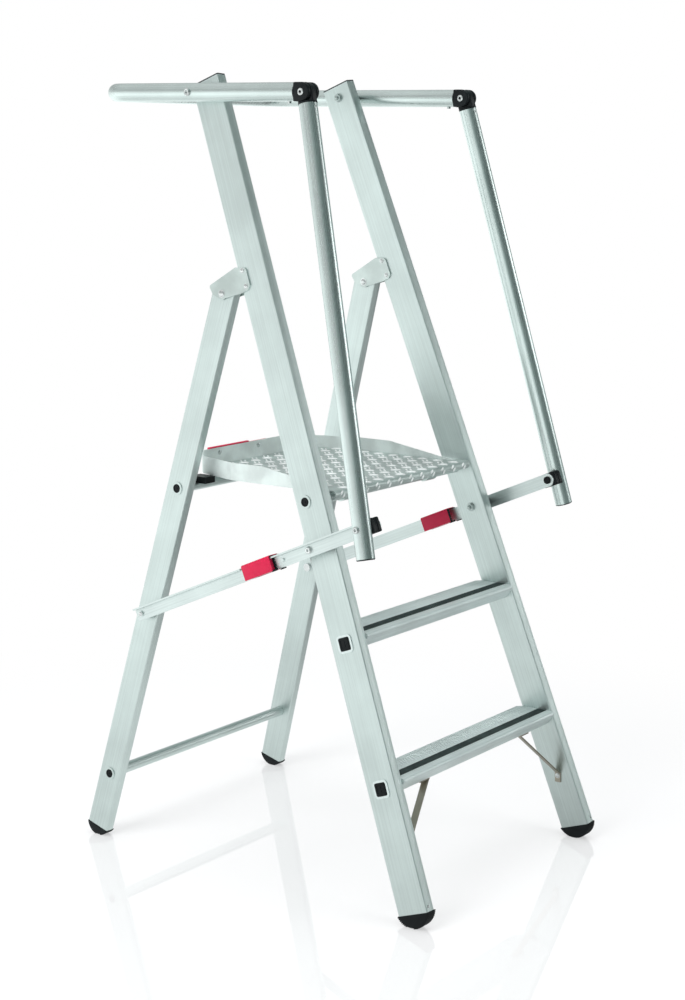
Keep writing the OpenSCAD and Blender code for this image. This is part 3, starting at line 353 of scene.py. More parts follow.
# %% [markdown]
# ## Finishes
# The step is mill-finish aluminium: satin, with fine lines drawn along each extrusion and a faint
# cloudy tone. The lines have to run along each member, so the same recipe is made once for every
# direction, with the coordinates turned until their Z lies along the member. Plastics get a fine
# moulded grain, and the steel of the braces a duller, browner tone.

# %% Aluminium
def end_finish(wire, sockets):
    shader = wire.node("ShaderNodeBsdfPrincipled", {}, sockets)
    wire.node("ShaderNodeOutputMaterial", {}, {"Surface": shader})


def noise(spot, scale, detail):
    return spot.node("ShaderNodeTexNoise", {}, {"Vector": spot, "Scale": scale, "Detail": detail}, "Fac")


def bump(spot, strength, distance, height):
    return spot.node("ShaderNodeBump", {}, {"Strength": strength, "Distance": distance, "Height": height})


def shade(tone, share):
    return tuple(min(1.0, c * share) for c in tone) + (1.0,)


def aluminium(name, way, tone=(0.71, 0.79, 0.775), metal=0.95, rough=0.37, drawn=1.0):
    """Satin metal with fine lines along a direction."""
    made, spot = start_finish(name)
    spin = Vector(way).to_track_quat("Z", "Y").inverted().to_euler()
    turned = spot.node("ShaderNodeMapping", {}, {"Vector": spot, "Rotation": spin})
    lines = spot.node("ShaderNodeMapping", {}, {"Vector": turned, "Scale": (420, 420, 4)})
    streak, cloud, fleck = noise(lines, 1.0, 3.0), noise(spot, 9.0, 4.0), noise(spot, 420.0, 2.0)
    mottle = (cloud * 0.55 + streak * 0.45).steps(0.3, 0.7)
    relief = bump(spot, 0.06 * drawn, 0.0004, streak * 0.8 + fleck * 0.2)
    end_finish(spot, {"Base Color": mottle.blend(shade(tone, 0.87), shade(tone, 1.07)), "Metallic": metal,
                      "Roughness": (rough - 0.05) + 0.1 * streak + 0.04 * cloud, "Normal": relief})
    return made


smooth_tube = {"rough": 0.26, "drawn": 0.05}
alu = {}
for side, flip in sides:
    for member, place, finish in (("stile", on_stile, {}), ("leg", on_leg, {}),
                                  ("gate", on_gate, smooth_tube)):
        way = (flip @ place).to_3x3() @ Vector((0, 0, 1))
        alu[side + "_" + member] = aluminium("%s_%s_aluminium" % (side, member), way, **finish)
stay_way = on_stay.to_3x3() @ Vector((0, 1, 0))
alu["across"] = aluminium("cross_aluminium", (1, 0, 0))
alu["tread"] = aluminium("tread_aluminium", (1, 0, 0), (0.80, 0.88, 0.87), 0.72, 0.42, 1.5)
alu["stay"] = aluminium("stay_aluminium", stay_way, (0.76, 0.83, 0.82))
alu["rail"] = aluminium("rail_aluminium", (0, 1, 0), **smooth_tube)
print("aluminium finishes:", len(alu))

# %% Sheet metal, steel and plastics
def sheet_metal(name, tone, rough, metal=0.95):
    """Rolled sheet: cloudy, with no clear direction."""
    made, spot = start_finish(name)
    cloud, grain = noise(spot, 24.0, 5.0), noise(spot, 300.0, 2.0)
    relief = bump(spot, 0.12, 0.0006, cloud * 0.6 + grain * 0.4)
    end_finish(spot, {"Base Color": cloud.steps(0.32, 0.68).blend(shade(tone, 0.86), shade(tone, 1.08)),
                      "Metallic": metal, "Roughness": (rough - 0.06) + 0.14 * cloud, "Normal": relief})
    return made


def plastic(name, tone, rough, grain_size, rub=1.25, gloss=0.3):
    """Moulded plastic with a fine grain and slightly rubbed high spots."""
    made, spot = start_finish(name)
    grain, wear = noise(spot, grain_size, 3.0), noise(spot, 45.0, 5.0)
    relief = bump(spot, 0.18, 0.0003, grain)
    end_finish(spot, {"Base Color": wear.steps(0.35, 0.75).blend(shade(tone, 2 - rub), shade(tone, rub)),
                      "Specular IOR Level": gloss, "Normal": relief,
                      "Roughness": (rough - 0.06) + 0.12 * wear})
    return made


# Painted light: the deck and its grains are one aluminium. The sheet gets a darker tone as painted shade,
# and the raised grains a much lighter, less metallic one as a painted highlight.
deck_sheet_painted_shade = sheet_metal("tread_plate", (0.61, 0.685, 0.665), 0.42, 0.8)
grain_sheet_painted_highlight = sheet_metal("tread_plate_grains", (0.90, 0.93, 0.92), 0.46, 0.45)
toe_sheet = sheet_metal("toe_board_sheet", (0.68, 0.75, 0.73), 0.5, 0.4)
plate_sheet = sheet_metal("hinge_plate_sheet", (0.67, 0.745, 0.725), 0.4)
bright_steel = sheet_metal("bright_steel", (0.78, 0.8, 0.8), 0.2)
nut_steel = sheet_metal("nut_steel", (0.5, 0.56, 0.55), 0.24)
# Near-black steel for the middle of each rivet: painted shade for the hollow where the mandrel broke off.
hole_painted_shade_steel = sheet_metal("hole_painted_shade_steel", (0.05, 0.055, 0.055), 0.4)
brace_steel = aluminium("brace_steel", (1, 0, 1), (0.46, 0.42, 0.35), 0.9, 0.38)
black_moulding = plastic("black_moulding", (0.006, 0.008, 0.009), 0.36, 900.0, 1.25, 0.18)
foot_rubber = plastic("foot_rubber", (0.008, 0.010, 0.011), 0.5, 600.0, 1.25, 0.15)
red_moulding = plastic("red_moulding", (0.54, 0.010, 0.055), 0.38, 700.0, 1.05)
strip_rubber = plastic("grip_strip_rubber", (0.032, 0.048, 0.046), 0.66, 500.0, 1.25, 0.2)
cap_moulding = plastic("stile_cap_moulding", (0.02, 0.024, 0.026), 0.5, 900.0)
print("finishes:", len(bpy.data.materials))

# %% [markdown]
# ## Finishes on the solids
# Most solids already have the right shape, so they only need a finish. A piece gets the finish of
# its material, unless its own lines run another way or it is made of another sheet or moulding.

# %% Finishes on the solids
wears = {"lower_tread": alu["tread"], "upper_tread": alu["tread"], "guard_rail": alu["rail"],
         "platform_deck": deck_sheet_painted_shade, "toe_board": toe_sheet, "stile_caps": cap_moulding}
for side, flip in sides:
    wears[side + "_gate_tube"] = alu[side + "_gate"]
    wears[side + "_front_bar"] = wears[side + "_rear_bar"] = alu["stay"]
    for member in ("_stile", "_leg"):
        wears[side + member] = alu[side + member]
by_slot = {"aluminium": alu["across"], "plate": plate_sheet, "steel": bright_steel,
           "brace_steel": brace_steel, "black_plastic": black_moulding, "red_plastic": red_moulding,
           "grip_rubber": strip_rubber}
slot_of = {part["node"]: part["material_slot"] for part in frame["record"]["subparts"]}
for name, obj in frame["nodes"].items():
    dress = wears.get(name, by_slot[slot_of[name]])
    obj.data.materials.clear()
    obj.data.materials.append(dress)
print("dressed nodes:", len(frame["nodes"]))

# %% [markdown]
# ## Two ways to make a solid piece
# Mouldings and caps are either a drawn outline pushed along a line, with its edges rounded off, or
# a profile turned on a lathe. Two small functions cover both, in millimetres in a member's own
# frame. Others close the mesh, put it on the body it moves with, and let it take a solid's place.

# %% Making solid pieces
def push(bm, outline, low, high, place, rounding=0.0, cuts=2):
    """Draws an outline of (y, z) points along X from low to high, and rounds its edges."""
    ends = [[bm.verts.new(place @ Vector((x, p[0], p[1]))) for p in outline] for x in (low, high)]
    faces = [bm.faces.new(ends[0]), bm.faces.new(ends[1])]
    count = len(outline)
    for i in range(count):
        j = (i + 1) % count
        faces.append(bm.faces.new((ends[0][i], ends[0][j], ends[1][j], ends[1][i])))
    bmesh.ops.recalc_face_normals(bm, faces=faces)
    if rounding:
        edges = {e for f in faces for e in f.edges if e.calc_face_angle(0) > radians(25)}
        bmesh.ops.bevel(bm, geom=list(edges), offset=rounding * 0.001, segments=cuts, profile=0.5,
                        affect="EDGES", clamp_overlap=True)


def lathe(bm, profile, place, count=28):
    """Turns (radius, height) points round Z."""
    rings = []
    for r, h in profile:
        if r < 1e-6:
            rings.append([bm.verts.new(place @ Vector((0, 0, h)))])
        else:
            turns = [2 * pi * k / count for k in range(count)]
            rings.append([bm.verts.new(place @ Vector((r * cos(t), r * sin(t), h))) for t in turns])
    for low, high in zip(rings, rings[1:]):
        for k in range(count):
            j = (k + 1) % count
            corners = [low[k % len(low)], low[j % len(low)], high[j % len(high)], high[k % len(high)]]
            bm.faces.new(list(dict.fromkeys(corners)))


def settle(name, bm, finish, body, sharp=40):
    """Closes the mesh, points its faces outwards and puts it on a body."""
    bmesh.ops.remove_doubles(bm, verts=bm.verts, dist=1e-6)
    bmesh.ops.recalc_face_normals(bm, faces=bm.faces)
    mesh = bpy.data.meshes.new(name)
    bm.to_mesh(mesh)
    bm.free()
    return put_on(name, mesh, finish, body, sharp)


def stand_in(node, name, bm, finish, body, sharp=40):
    """A settled piece that takes the place of a node's solid."""
    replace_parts(settle(name, bm, finish, body, sharp), node)


def black_part(node, name, bm, body, sharp=40):
    stand_in(node, name, bm, black_moulding, body, sharp)


def put_on(name, mesh, finish, body, sharp=40):
    if finish:
        mesh.materials.clear()
        mesh.materials.append(finish)
    for face in mesh.polygons:
        face.use_smooth = True
    mesh.set_sharp_from_angle(angle=radians(sharp))
    made = add_object(name, mesh)
    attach(made, body)
    print(name, "on", body, "faces", len(mesh.polygons))
    return made


def oblong(low, high, left, right):
    """The four corners of an outline, from its limits in Y and in Z."""
    return [(low, left), (low, right), (high, right), (high, left)]


def ring_points(radius, first, last, count, centre=(0.0, 0.0)):
    """Points on an arc, both ends among them."""
    return [(centre[0] + radius * cos(first + (last - first) * k / count),
             centre[1] + radius * sin(first + (last - first) * k / count)) for k in range(count + 1)]


print("makers ready")

# %% [markdown]
# ## A node tree for everything that repeats
# Rivets, ribs and teeth are one small shape many times over. We mark each place with a loose
# vertex that carries a direction, and a node tree puts the shape there, turned to that direction.
# Changing one input changes all of them, which is why this beats copying meshes by hand.

# %% Node trees: the common part
def start_tree(name, inputs):
    tree = bpy.data.node_groups.new(name, "GeometryNodeTree")
    tree.interface.new_socket("Places", in_out="INPUT", socket_type="NodeSocketGeometry")
    for label, value in inputs.items():
        kind = "NodeSocketInt" if isinstance(value, int) else "NodeSocketFloat"
        tree.interface.new_socket(label, in_out="INPUT", socket_type=kind).default_value = value
    tree.interface.new_socket("Shape", in_out="OUTPUT", socket_type="NodeSocketGeometry")
    wire = Wire(tree)
    source = tree.nodes.new("NodeGroupInput")
    return tree, wire, {s.name: Wire(tree, s) for s in source.outputs if s.name}


def end_tree(tree, wire, shape, finish):
    solid = wire.node("GeometryNodeRealizeInstances", {}, {"Geometry": shape})
    dressed = wire.node("GeometryNodeSetMaterial", {}, {"Geometry": solid, "Material": finish})
    target = tree.nodes.new("NodeGroupOutput")
    tree.links.new(dressed.socket, target.inputs["Shape"])


def grow(name, tree, places, values, body, sharp=40):
    """Runs a tree on a list of (point, direction) in metres, and keeps the result as a plain mesh."""
    mesh = bpy.data.meshes.new(name + "_places")
    mesh.from_pydata([p for p, d in places], [], [])
    aim = mesh.attributes.new("aim", "FLOAT_VECTOR", "POINT")
    for k, (p, d) in enumerate(places):
        aim.data[k].vector = d
    holder = add_object(name + "_places", mesh)
    change = holder.modifiers.new("grow", "NODES")
    change.node_group = tree
    for item in tree.interface.items_tree:
        if item.item_type == "SOCKET" and item.in_out == "INPUT" and item.name in values:
            change[item.identifier] = values[item.name]
    depsgraph = bpy.context.evaluated_depsgraph_get()
    result = bpy.data.meshes.new_from_object(holder.evaluated_get(depsgraph))
    result.name = name
    bpy.data.objects.remove(holder)
    return put_on(name, result, None, body, sharp)


print("tree helpers ready")

# %% Node trees: heads and bars
def join(wire, parts):
    both = wire.tree.nodes.new("GeometryNodeJoinGeometry")
    for part in parts:
        wire.tree.links.new(part.socket, both.inputs[0])
    return Wire(wire.tree, both.outputs[0])


def triple(wire, x=0.0, y=0.0, z=0.0):
    return wire.node("ShaderNodeCombineXYZ", {}, {"X": x, "Y": y, "Z": z})


def rod(wire, corners, radius, depth):
    return wire.node("GeometryNodeMeshCylinder", {}, {"Vertices": corners, "Radius": radius, "Depth": depth})


def globe(wire, segments, rings, radius):
    return wire.node("GeometryNodeMeshUVSphere", {},
                     {"Segments": segments, "Rings": rings, "Radius": radius})


def moved(wire, shape, **change):
    return wire.node("GeometryNodeTransform", {}, {"Geometry": shape, **change})


def on_places(wire, sizes, shape, pivot="AUTO", scale=(1, 1, 1)):
    """Puts a shape on every place, with its Z along the place's direction."""
    aim = wire.node("GeometryNodeInputNamedAttribute", {"data_type": "FLOAT_VECTOR"}, {"Name": "aim"})
    facing = wire.node("FunctionNodeAlignRotationToVector", {"axis": "Z", "pivot_axis": pivot},
                       {"Vector": aim})
    return wire.node("GeometryNodeInstanceOnPoints", {}, {"Points": sizes["Places"], "Instance": shape,
                                                          "Rotation": facing, "Scale": scale})


def heads_tree(name, finish):
    """A washer and a dome on each place."""
    tree, wire, sizes = start_tree(name, {"Dome radius": 0.005, "Dome height": 0.003,
                                          "Washer radius": 0.006, "Washer height": 0.001})
    across = triple(wire, sizes["Dome radius"], sizes["Dome radius"], sizes["Dome height"])
    dome = moved(wire, globe(wire, 14, 8, 1.0), Scale=across)
    disc = rod(wire, 18, sizes["Washer radius"], sizes["Washer height"])
    end_tree(tree, wire, on_places(wire, sizes, join(wire, [dome, disc])), finish)
    return tree


def bars_tree(name, finish):
    """A slim rounded bar along X on each place."""
    tree, wire, sizes = start_tree(name, {"Bar length": 0.02, "Bar width": 0.002, "Bar height": 0.001})
    flat = moved(wire, rod(wire, 8, 0.5, 1.0), Rotation=Euler((0, pi / 2, 0)))
    across = triple(wire, sizes["Bar length"], sizes["Bar width"], 2 * sizes["Bar height"])
    end_tree(tree, wire, on_places(wire, sizes, flat, "X", across), finish)
    return tree


def head_sizes(dome_r, dome_h, washer_r, washer_h):
    """Inputs of a head, from millimetres."""
    return {"Dome radius": dome_r / 1000, "Dome height": dome_h / 1000,
            "Washer radius": washer_r / 1000, "Washer height": washer_h / 1000}


def bar_sizes(long, wide, high):
    """Inputs of a bar, from millimetres."""
    return {"Bar length": long / 1000, "Bar width": wide / 1000, "Bar height": high / 1000}


steel_heads = heads_tree("steel_heads", bright_steel)
foot_teeth = bars_tree("foot_teeth", foot_rubber)
tread_ribs = bars_tree("tread_ribs", alu["tread"])
strip_ribs = bars_tree("strip_ribs", strip_rubber)
print("trees:", [g.name for g in bpy.data.node_groups])

# %% [markdown]
# ## Ribs on the treads
# A ladder tread is one extrusion, and its fine ribs run the whole width to stop a shoe slipping
# forwards. They could be a bump map, but they catch the light along the edge of the step, so they
# are real ridges. The dark strip in its groove has a few finer ones.

# %% Tread ribs
def rib_rows(top, first, last, count):
    """Places across a tread, from first to last behind its front edge."""
    lead = stile_y(top - tang_drop) - tread_ahead
    gap = (last - first) / (count - 1)
    return [((0, (lead + first + gap * k) / 1000, top / 1000), (0, 0, 1)) for k in range(count)]


rib_end_gap, strip_end, chamfer_at = 1.5, strip_at + strip_w, tread_depth - tread_chamfer
for label, top in zip(("lower", "upper"), tread_tops):
    wide = 2 * (stile_in(top) - rib_end_gap)
    rows = rib_rows(top, strip_end + 4, chamfer_at - 2, 6)
    grow(label + "_tread_ribs", tread_ribs, rows, bar_sizes(wide, 3.2, 1.3), "front_frame")
    back = rib_rows(top, chamfer_at + 2.6, tread_depth - 2.5, 2)
    grow(label + "_tread_back_ribs", tread_ribs, back, bar_sizes(wide - 2 * tread_chamfer - 4, 2.6, 0.9),
         "front_frame")
    thin = [((p[0], p[1], p[2] + strip_proud / 1000), d)
            for p, d in rib_rows(top, strip_at + 2, strip_end - 2, 6)]
    grow(label + "_strip_ribs", strip_ribs, thin, bar_sizes(wide - 2, 1.8, 0.6),
         "front_frame")

# %% [markdown]
# ## Bumps on the platform
# The deck is tread plate: sheet rolled with pairs of long raised grains in a basket weave, one pair
# along one diagonal and its neighbours along the other. One tree makes a pair and turns it, and two
# lists of places, one for each diagonal, make the weave. At the deck's front edge the sheet rolls
# over, so there the places follow the roll, and shorter grains hug it.

# %% Platform bumps
def grains_tree(name, finish):
    """A pair of long grains on each place, turned on the spot."""
    tree, wire, sizes = start_tree(name, {"Grain length": 0.02, "Grain width": 0.0038,
                                          "Grain height": 0.0016, "Pair gap": 0.0078, "Turn": 0.0})
    across = triple(wire, sizes["Grain length"], sizes["Grain width"], 2 * sizes["Grain height"])
    grain = moved(wire, globe(wire, 8, 5, 0.5), Scale=across)
    pair = [moved(wire, grain, Translation=triple(wire, y=half * sizes["Pair gap"])) for half in (-0.5, 0.5)]
    turned = moved(wire, join(wire, pair), Rotation=triple(wire, z=sizes["Turn"]))
    end_tree(tree, wire, on_places(wire, sizes, turned, "X"), finish)
    return tree


deck_gap, corner_in, rear_in, nose_gap, notch_ahead = 25.8, 27.5, 13.0, 10.0, 16.0
nose_ahead, side_back, deck_back, corner_len, deck_roll = 42.0, 210.0, 314.0, 14.0, 8.0
weave, grain_edge, first_row, half_columns = 17.4, 10.0, 5.0, 14
deck_half = stile_in(pivot_z) - deck_gap
corner_half = deck_half - corner_in
rear_half = corner_half - rear_in
deck_front, shoulder_y, deck_rear = pivot_y - nose_ahead, pivot_y + side_back, pivot_y + deck_back
corner_y = deck_rear - corner_len


def deck_reach(y):
    """Half the width of the deck, which narrows at the front notches and at the rear corners."""
    if y < pivot_y - notch_ahead:
        return stile_in(deck_z) - nose_gap
    if y < shoulder_y:
        return deck_half
    share = min(1.0, (y - shoulder_y) / (corner_y - shoulder_y))
    return deck_half + (corner_half - deck_half) * share


weaves = {("flat", 0): [], ("flat", 1): [], ("nose", 0): [], ("nose", 1): []}
roll_y = deck_front + deck_roll
for row in range(-1, int((deck_rear - roll_y - grain_edge) / weave) + 1):
    for k in range(-half_columns, half_columns + 1):
        x, y = k * weave, roll_y + first_row + row * weave
        if (row + k) % 2 or abs(x) > deck_reach(max(y, deck_front)) - grain_edge:
            continue
        if row >= 0:
            weaves["flat", row % 2].append(((x / 1000, y / 1000, deck_z / 1000), (0, 0, 1)))
        else:
            lean = (roll_y - y) / deck_roll
            weaves["nose", row % 2].append(((x / 1000, (roll_y - deck_roll * sin(lean)) / 1000,
                                             (deck_z - deck_roll + deck_roll * cos(lean)) / 1000),
                                            (0, -sin(lean), cos(lean))))
# The grains wear the lighter sheet above: a painted highlight on each raised grain.
plate_grains = grains_tree("plate_grains", grain_sheet_painted_highlight)
for (part, odd), places in weaves.items():
    if places:
        long, gap = (0.02, 0.0078) if part == "flat" else (0.011, 0.008)
        grow("%s_grains_%d" % (part, odd), plate_grains, places,
             {"Grain length": long, "Pair gap": gap, "Turn": radians(45 if odd else -45)},
             "platform")

# %% [markdown]
# ## Rubber feet
# Each foot is a moulded cap with a rounded, toothed sole, so that the step stands well at any
# spread of the legs. The cap is an outline pushed across the foot, flattened where it stands, and
# the teeth are bars laid round its arc.

# %% Feet
tooth_w, tooth_h, tooth_count, tooth_start, floor_gap = 2.6, 1.1, 24, 0.05, 0.0009


def foot(bm, place, radius, drop, centre, half):
    """The lower cap of a disc, across the member."""
    low = asin(drop / radius)
    arc = ring_points(radius - tooth_h, pi + low, 2 * pi - low, 26, (0.0, centre))
    push(bm, arc, -half, half, place, 1.2, 2)


def teeth(place, radius, drop, centre):
    """Places round the sole, leaving out the flat that stands on the floor."""
    low = asin(drop / radius) + tooth_start
    found = []
    for p in ring_points(radius - tooth_h, pi + low, 2 * pi - low, tooth_count, (0.0, centre)):
        spot = place @ Vector((0, p[0], p[1]))
        found.append((spot, (place.to_3x3() @ Vector((0, p[0], p[1] - centre))).normalized()))
    return [(p, d) for p, d in found if p.z > floor_gap]


for name, place, radius, up, wide, body in (
        ("front_feet", on_stile, foot_r, stile_up, stile_t, "front_frame"),
        ("rear_feet", on_leg, rear_foot_r, leg_up, leg_t, "rear_frame")):
    bm = bmesh.new()
    marks = []
    middle = (radius - foot_flat) / up
    for side, flip in sides:
        home = to_metres @ flip @ place
        foot(bm, home, radius, foot_drop, middle, wide / 2 + foot_lip)
        marks += teeth(home, radius, foot_drop, middle)
    for v in bm.verts:
        v.co.z = max(v.co.z, 0.0)
    stand_in(name, "rubber_" + name, bm, foot_rubber, body)
    tooth = bar_sizes(wide + 2 * foot_lip - 1.2, tooth_w, tooth_h)
    grow("teeth_of_" + name, foot_teeth, marks, tooth, body)

# %% [markdown]
# ## Plugs in the tube ends
# The square tread ends and the round cross tubes are flared over the outside of the stiles and
# legs and closed with black plugs. A plug has a raised rim and a small cross inside it from the
# moulding tool, which is what catches the light in the picture.

# %% Plugs
tang_in, tube_in, collar_t, plug_proud, fix_gap, plug_len = 23.8, 8.2, 1.6, 0.8, 0.25, 20.0
rim_out, rim_in, arm, arm_half = 9.0, 7.4, 6.0, 0.9
upper_z, lower_z = 698.0, 128.0
plug_face = collar_t + plug_proud


def rounded_square(side, radius):
    half = side / 2 - radius
    corners = ((half, half, 0), (-half, half, 1), (-half, -half, 2), (half, -half, 3))
    return [p for cx, cy, q in corners
            for p in ring_points(radius, q * pi / 2, (q + 1) * pi / 2, 4, (cx, cy))]


bm = bmesh.new()
for side, flip in sides:
    for top in tread_tops:
        mid = top - tang_drop
        home = (to_metres @ flip @ at(stile_out(mid), stile_y(mid), mid)
                @ turn(-stile_taper, "Y") @ turn(-stile_lean, "X"))
        body_outline = rounded_square(tang_in - 2 * fix_gap, 3.2)
        push(bm, body_outline, 2 - stile_t, plug_face - 0.6, home, 0.5, 2)
        for limits in ((-rim_out, rim_out, rim_in, rim_out), (-rim_out, rim_out, -rim_out, -rim_in),
                       (rim_in, rim_out, -rim_out, rim_out), (-rim_out, -rim_in, -rim_out, rim_out),
                       (-arm, arm, -arm_half, arm_half), (-arm_half, arm_half, -arm, arm)):
            push(bm, oblong(*limits), collar_t, plug_face + 0.2, home, 0.3, 1)
black_part("tread_plugs", "square_plugs", bm, "front_frame")


def round_plug(bm, home, top):
    rim = tube_in - fix_gap
    lathe(bm, [(0, -plug_len), (rim, -plug_len), (rim, top - 0.5), (rim - 0.6, top), (rim - 1.8, top),
               (rim - 2.4, top - 1.0), (2.2, top - 1.0), (1.8, top - 0.2), (0, top - 0.2)], home, 24)


for name, body, spots in (
        ("pivot_plugs", "front_frame", [(stile_out(pivot_z), pivot_y, pivot_z)]),
        ("leg_plugs", "rear_frame", [(leg_out(z), leg_y(z), z) for z in (upper_z, lower_z)])):
    bm = bmesh.new()
    for side, flip in sides:
        for x, y, z in spots:
            round_plug(bm, to_metres @ flip @ at(x, y, z) @ turn(pi / 2, "Y"), plug_face)
    black_part(name, "round_" + name, bm, body)

# %% [markdown]
# ## Crowned edges on the stiles and legs
# The narrow faces of these extrusions aren't flat: they rise a little to a blunt ridge along the
# middle, so one half of the face is lighter than the other. A flat face with a painted line would
# look wrong from every other side. We push a low three-sided outline along each member instead.

# %% Crowns
along_z = Matrix(((0, 1, 0, 0), (0, 0, 1, 0), (1, 0, 0, 0), (0, 0, 0, 1)))
along_y = Matrix(((0, 0, 1, 0), (1, 0, 0, 0), (0, 1, 0, 0), (0, 0, 0, 1)))
stile_cut, stile_end = (foot_r - foot_flat) / stile_up - foot_drop, (rail_z + stile_over) / stile_up
leg_head, crown_h, crown_edge, crown_sink, ridge_half = 11.0, 1.1, 1.6, 0.4, 0.6
leg_cut, leg_end = (rear_foot_r - foot_flat) / leg_up - foot_drop, hinge_z / leg_up + leg_head


def crown(bm, home, thick, wide, low, high):
    for face in (-1, 1):
        base, flat, ridge = (face * (wide / 2 + rise_by) for rise_by in (-crown_sink, 0, crown_h))
        reach = thick / 2 - crown_edge
        outline = [(-reach, base), (-reach, flat), (-ridge_half, ridge), (ridge_half, ridge),
                   (reach, flat), (reach, base)]
        push(bm, outline, low, high, home @ along_z)


for side, flip in sides:
    for member, place, thick, wide, low, high, body in (
            ("stile", on_stile, stile_t, stile_w, stile_cut, stile_end, "front_frame"),
            ("leg", on_leg, leg_t, leg_w, leg_cut, leg_end, "rear_frame")):
        bm = bmesh.new()
        crown(bm, to_metres @ flip @ place, thick, wide, low + 1, high - 1)
        settle(side + "_" + member + "_crowns", bm, alu[side + "_" + member], body, 3)

# %% [markdown]
# ## Rivets, pins and nuts
# Blind rivets hold the hinge plates, the braces and the handle: a small dome with a near-black stub in
# the middle, painted shade for the hollow of its mandrel. The leg pins have plain domed heads, and hex nuts
# close the bolts
# inside the stiles. Copied meshes would do, but one tree for each kind keeps all its sizes together.

# %% Places of the fasteners
plate_t, plate_lap, plate_rise, plate_edge = 3.0, 20.8, 28.0, 9.0
plate_front = hinge_back * cos(stile_lean) - stile_w / 2 + plate_lap
brace_z, brace_t, gate_rivet_z = 121.0, 2.5, -29.0
toe_t, toe_h, grip_len, grip_in, grip_h, grip_t = 2.4, 32.0, 172.0, 19.0, 18.0, 4.0
grip_x = grip_in + grip_len / 2 - rear_half
face_in = (-cos(stile_taper), 0, -sin(stile_taper))


def mark(place, point, way):
    """A place in metres and a direction, from millimetres in a member's frame."""
    return to_metres @ place @ Vector(point), (place.to_3x3() @ Vector(way)).normalized()


plate_rivets, pins, brace_rivets, foot_rivets, nuts, gate_rivets = [], [], [], [], [], []
for side, flip in sides:
    for x, way in ((plate_t, (1, 0, 0)), (-stile_t - plate_t, (-1, 0, 0))):
        plate_rivets += [mark(flip @ on_plate, (x, plate_edge - plate_front, share * plate_rise), way)
                         for share in (0.86, -0.17)]
        pins.append(mark(flip @ on_plate, (x, 0, 0), way))
    brace_rivets.append(mark(flip, (stile_in(brace_z) - brace_t, stile_y(brace_z), brace_z), face_in))
    foot_rivets.append(mark(flip @ on_stile, (4, -stile_w / 2 - 0.4, stile_cut + 9), (0, -1, 0)))
    nuts += [mark(flip, (stile_in(z), stile_y(z), z), face_in) for z in (stay_z, rail_z)]
    gate_rivets.append(mark(flip @ on_gate, (0, -rail_r, gate_rivet_z), (0, -1, 0)))
as_it_stands, grip_z = Matrix.Identity(4), deck_z + toe_h - grip_h / 2
handle_rivets = [mark(as_it_stands, (grip_x + share * grip_len, y, grip_z), (0, way, 0))
                 for share in (-1 / 3, 1 / 3)
                 for y, way in ((deck_rear - toe_t, -1), (deck_rear + grip_t, 1))]
print("rivets:", len(plate_rivets) + len(brace_rivets) + len(foot_rivets) + len(handle_rivets))


# %% Nuts
def nuts_tree(name, finish):
    """A thin washer, a hexagon and a domed bolt end on each place."""
    tree, wire, sizes = start_tree(name, {"Nut radius": 0.0062, "Nut height": 0.0045, "Bolt radius": 0.0036})
    radius, high = sizes["Nut radius"], sizes["Nut height"]
    washer = rod(wire, 20, radius * 1.25, high * 0.4)
    nut = moved(wire, rod(wire, 6, radius, high), Translation=triple(wire, z=high * 0.5))
    bolt_end = moved(wire, globe(wire, 12, 8, sizes["Bolt radius"]), Translation=triple(wire, z=high))
    end_tree(tree, wire, on_places(wire, sizes, join(wire, [washer, nut, bolt_end])), finish)
    return tree


steel_nuts = nuts_tree("steel_nuts", nut_steel)
painted_hole_shade = heads_tree("painted_hole_shade", hole_painted_shade_steel)
grow("stile_nuts", steel_nuts, nuts, {"Nut radius": 0.0072, "Nut height": 0.0055, "Bolt radius": 0.0042},
     "front_frame", 30)


# %% Rivets and pins
def rivets(name, places, radius, body):
    """Domes with a near-black stub in the middle: painted shade for the hollow of the mandrel."""
    dome = head_sizes(radius, 0.45 * radius, 1.12 * radius, 0.8)
    made = grow(name, steel_heads, places, dome, body)
    # The stub is painted shade: a near-black dome standing in for the rivet's hollow.
    stub = head_sizes(0.3 * radius, 0.52 * radius, 0.2 * radius, 0.4)
    grow(name.replace("rivets", "rivet_stubs"), painted_hole_shade, places, stub, body)
    return made


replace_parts(rivets("hinge_plate_rivets", plate_rivets, 4.3, "front_frame"), "hinge_rivets")
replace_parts(rivets("brace_rivets", brace_rivets, 4.6, "front_frame"), "small_rivets")
rivets("foot_rivets", foot_rivets, 2.6, "front_frame")
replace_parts(rivets("grip_rivets", handle_rivets, 4.6, "platform"), "handle_rivets")
stay_span = sqrt((foot_y - stay_y) ** 2 + (stay_z - foot_pivot_z) ** 2)
for (side, flip), place in zip(sides, gate_rivets):
    rivets(side + "_gate_rivets", [place], 2.8, side + "_gate")
    bar_end = mark(flip @ on_stay, (stay_x + stay_t + 2.5, stay_span, 0), (1, 0, 0))
    rivets(side + "_rear_bar_rivets", [bar_end], 4.4, side + "_rear_stay")
heads = grow("leg_pin_heads", steel_heads, pins, head_sizes(6.2, 2.6, 7.2, 1.2), "front_frame")
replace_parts(heads, "leg_pins")

# %% [markdown]
# ## Bolts with a socket
# The bolts of the rail, the stays, the knuckles and the hanging tubes have round heads with a
# hollow for the key. The hollow has to be a real one, because its dark inside is what tells a bolt
# from a stud, so the head is turned on the lathe from a profile that dips in the middle.

# %% Socket bolts
def socket_head(bm, home, radius, high):
    hole = radius * 0.42
    lathe(bm, [(0, high * 0.25), (hole, high * 0.25), (hole, high * 0.96), (radius * 0.7, high),
               (radius * 0.92, high * 0.72), (radius, high * 0.3), (radius, -0.6), (0, -0.6)], home, 24)


def bolts(node, name, spots, radius, high, body):
    """Heads on (frame, point) pairs, each pointing outwards along X."""
    bm = bmesh.new()
    for place, point in spots:
        socket_head(bm, to_metres @ place @ at(*point) @ turn(pi / 2, "Y"), radius, high)
    stand_in(node, name, bm, bright_steel, body, 35)


def on_both(place, point):
    return [(flip @ place, point) for side, flip in sides]


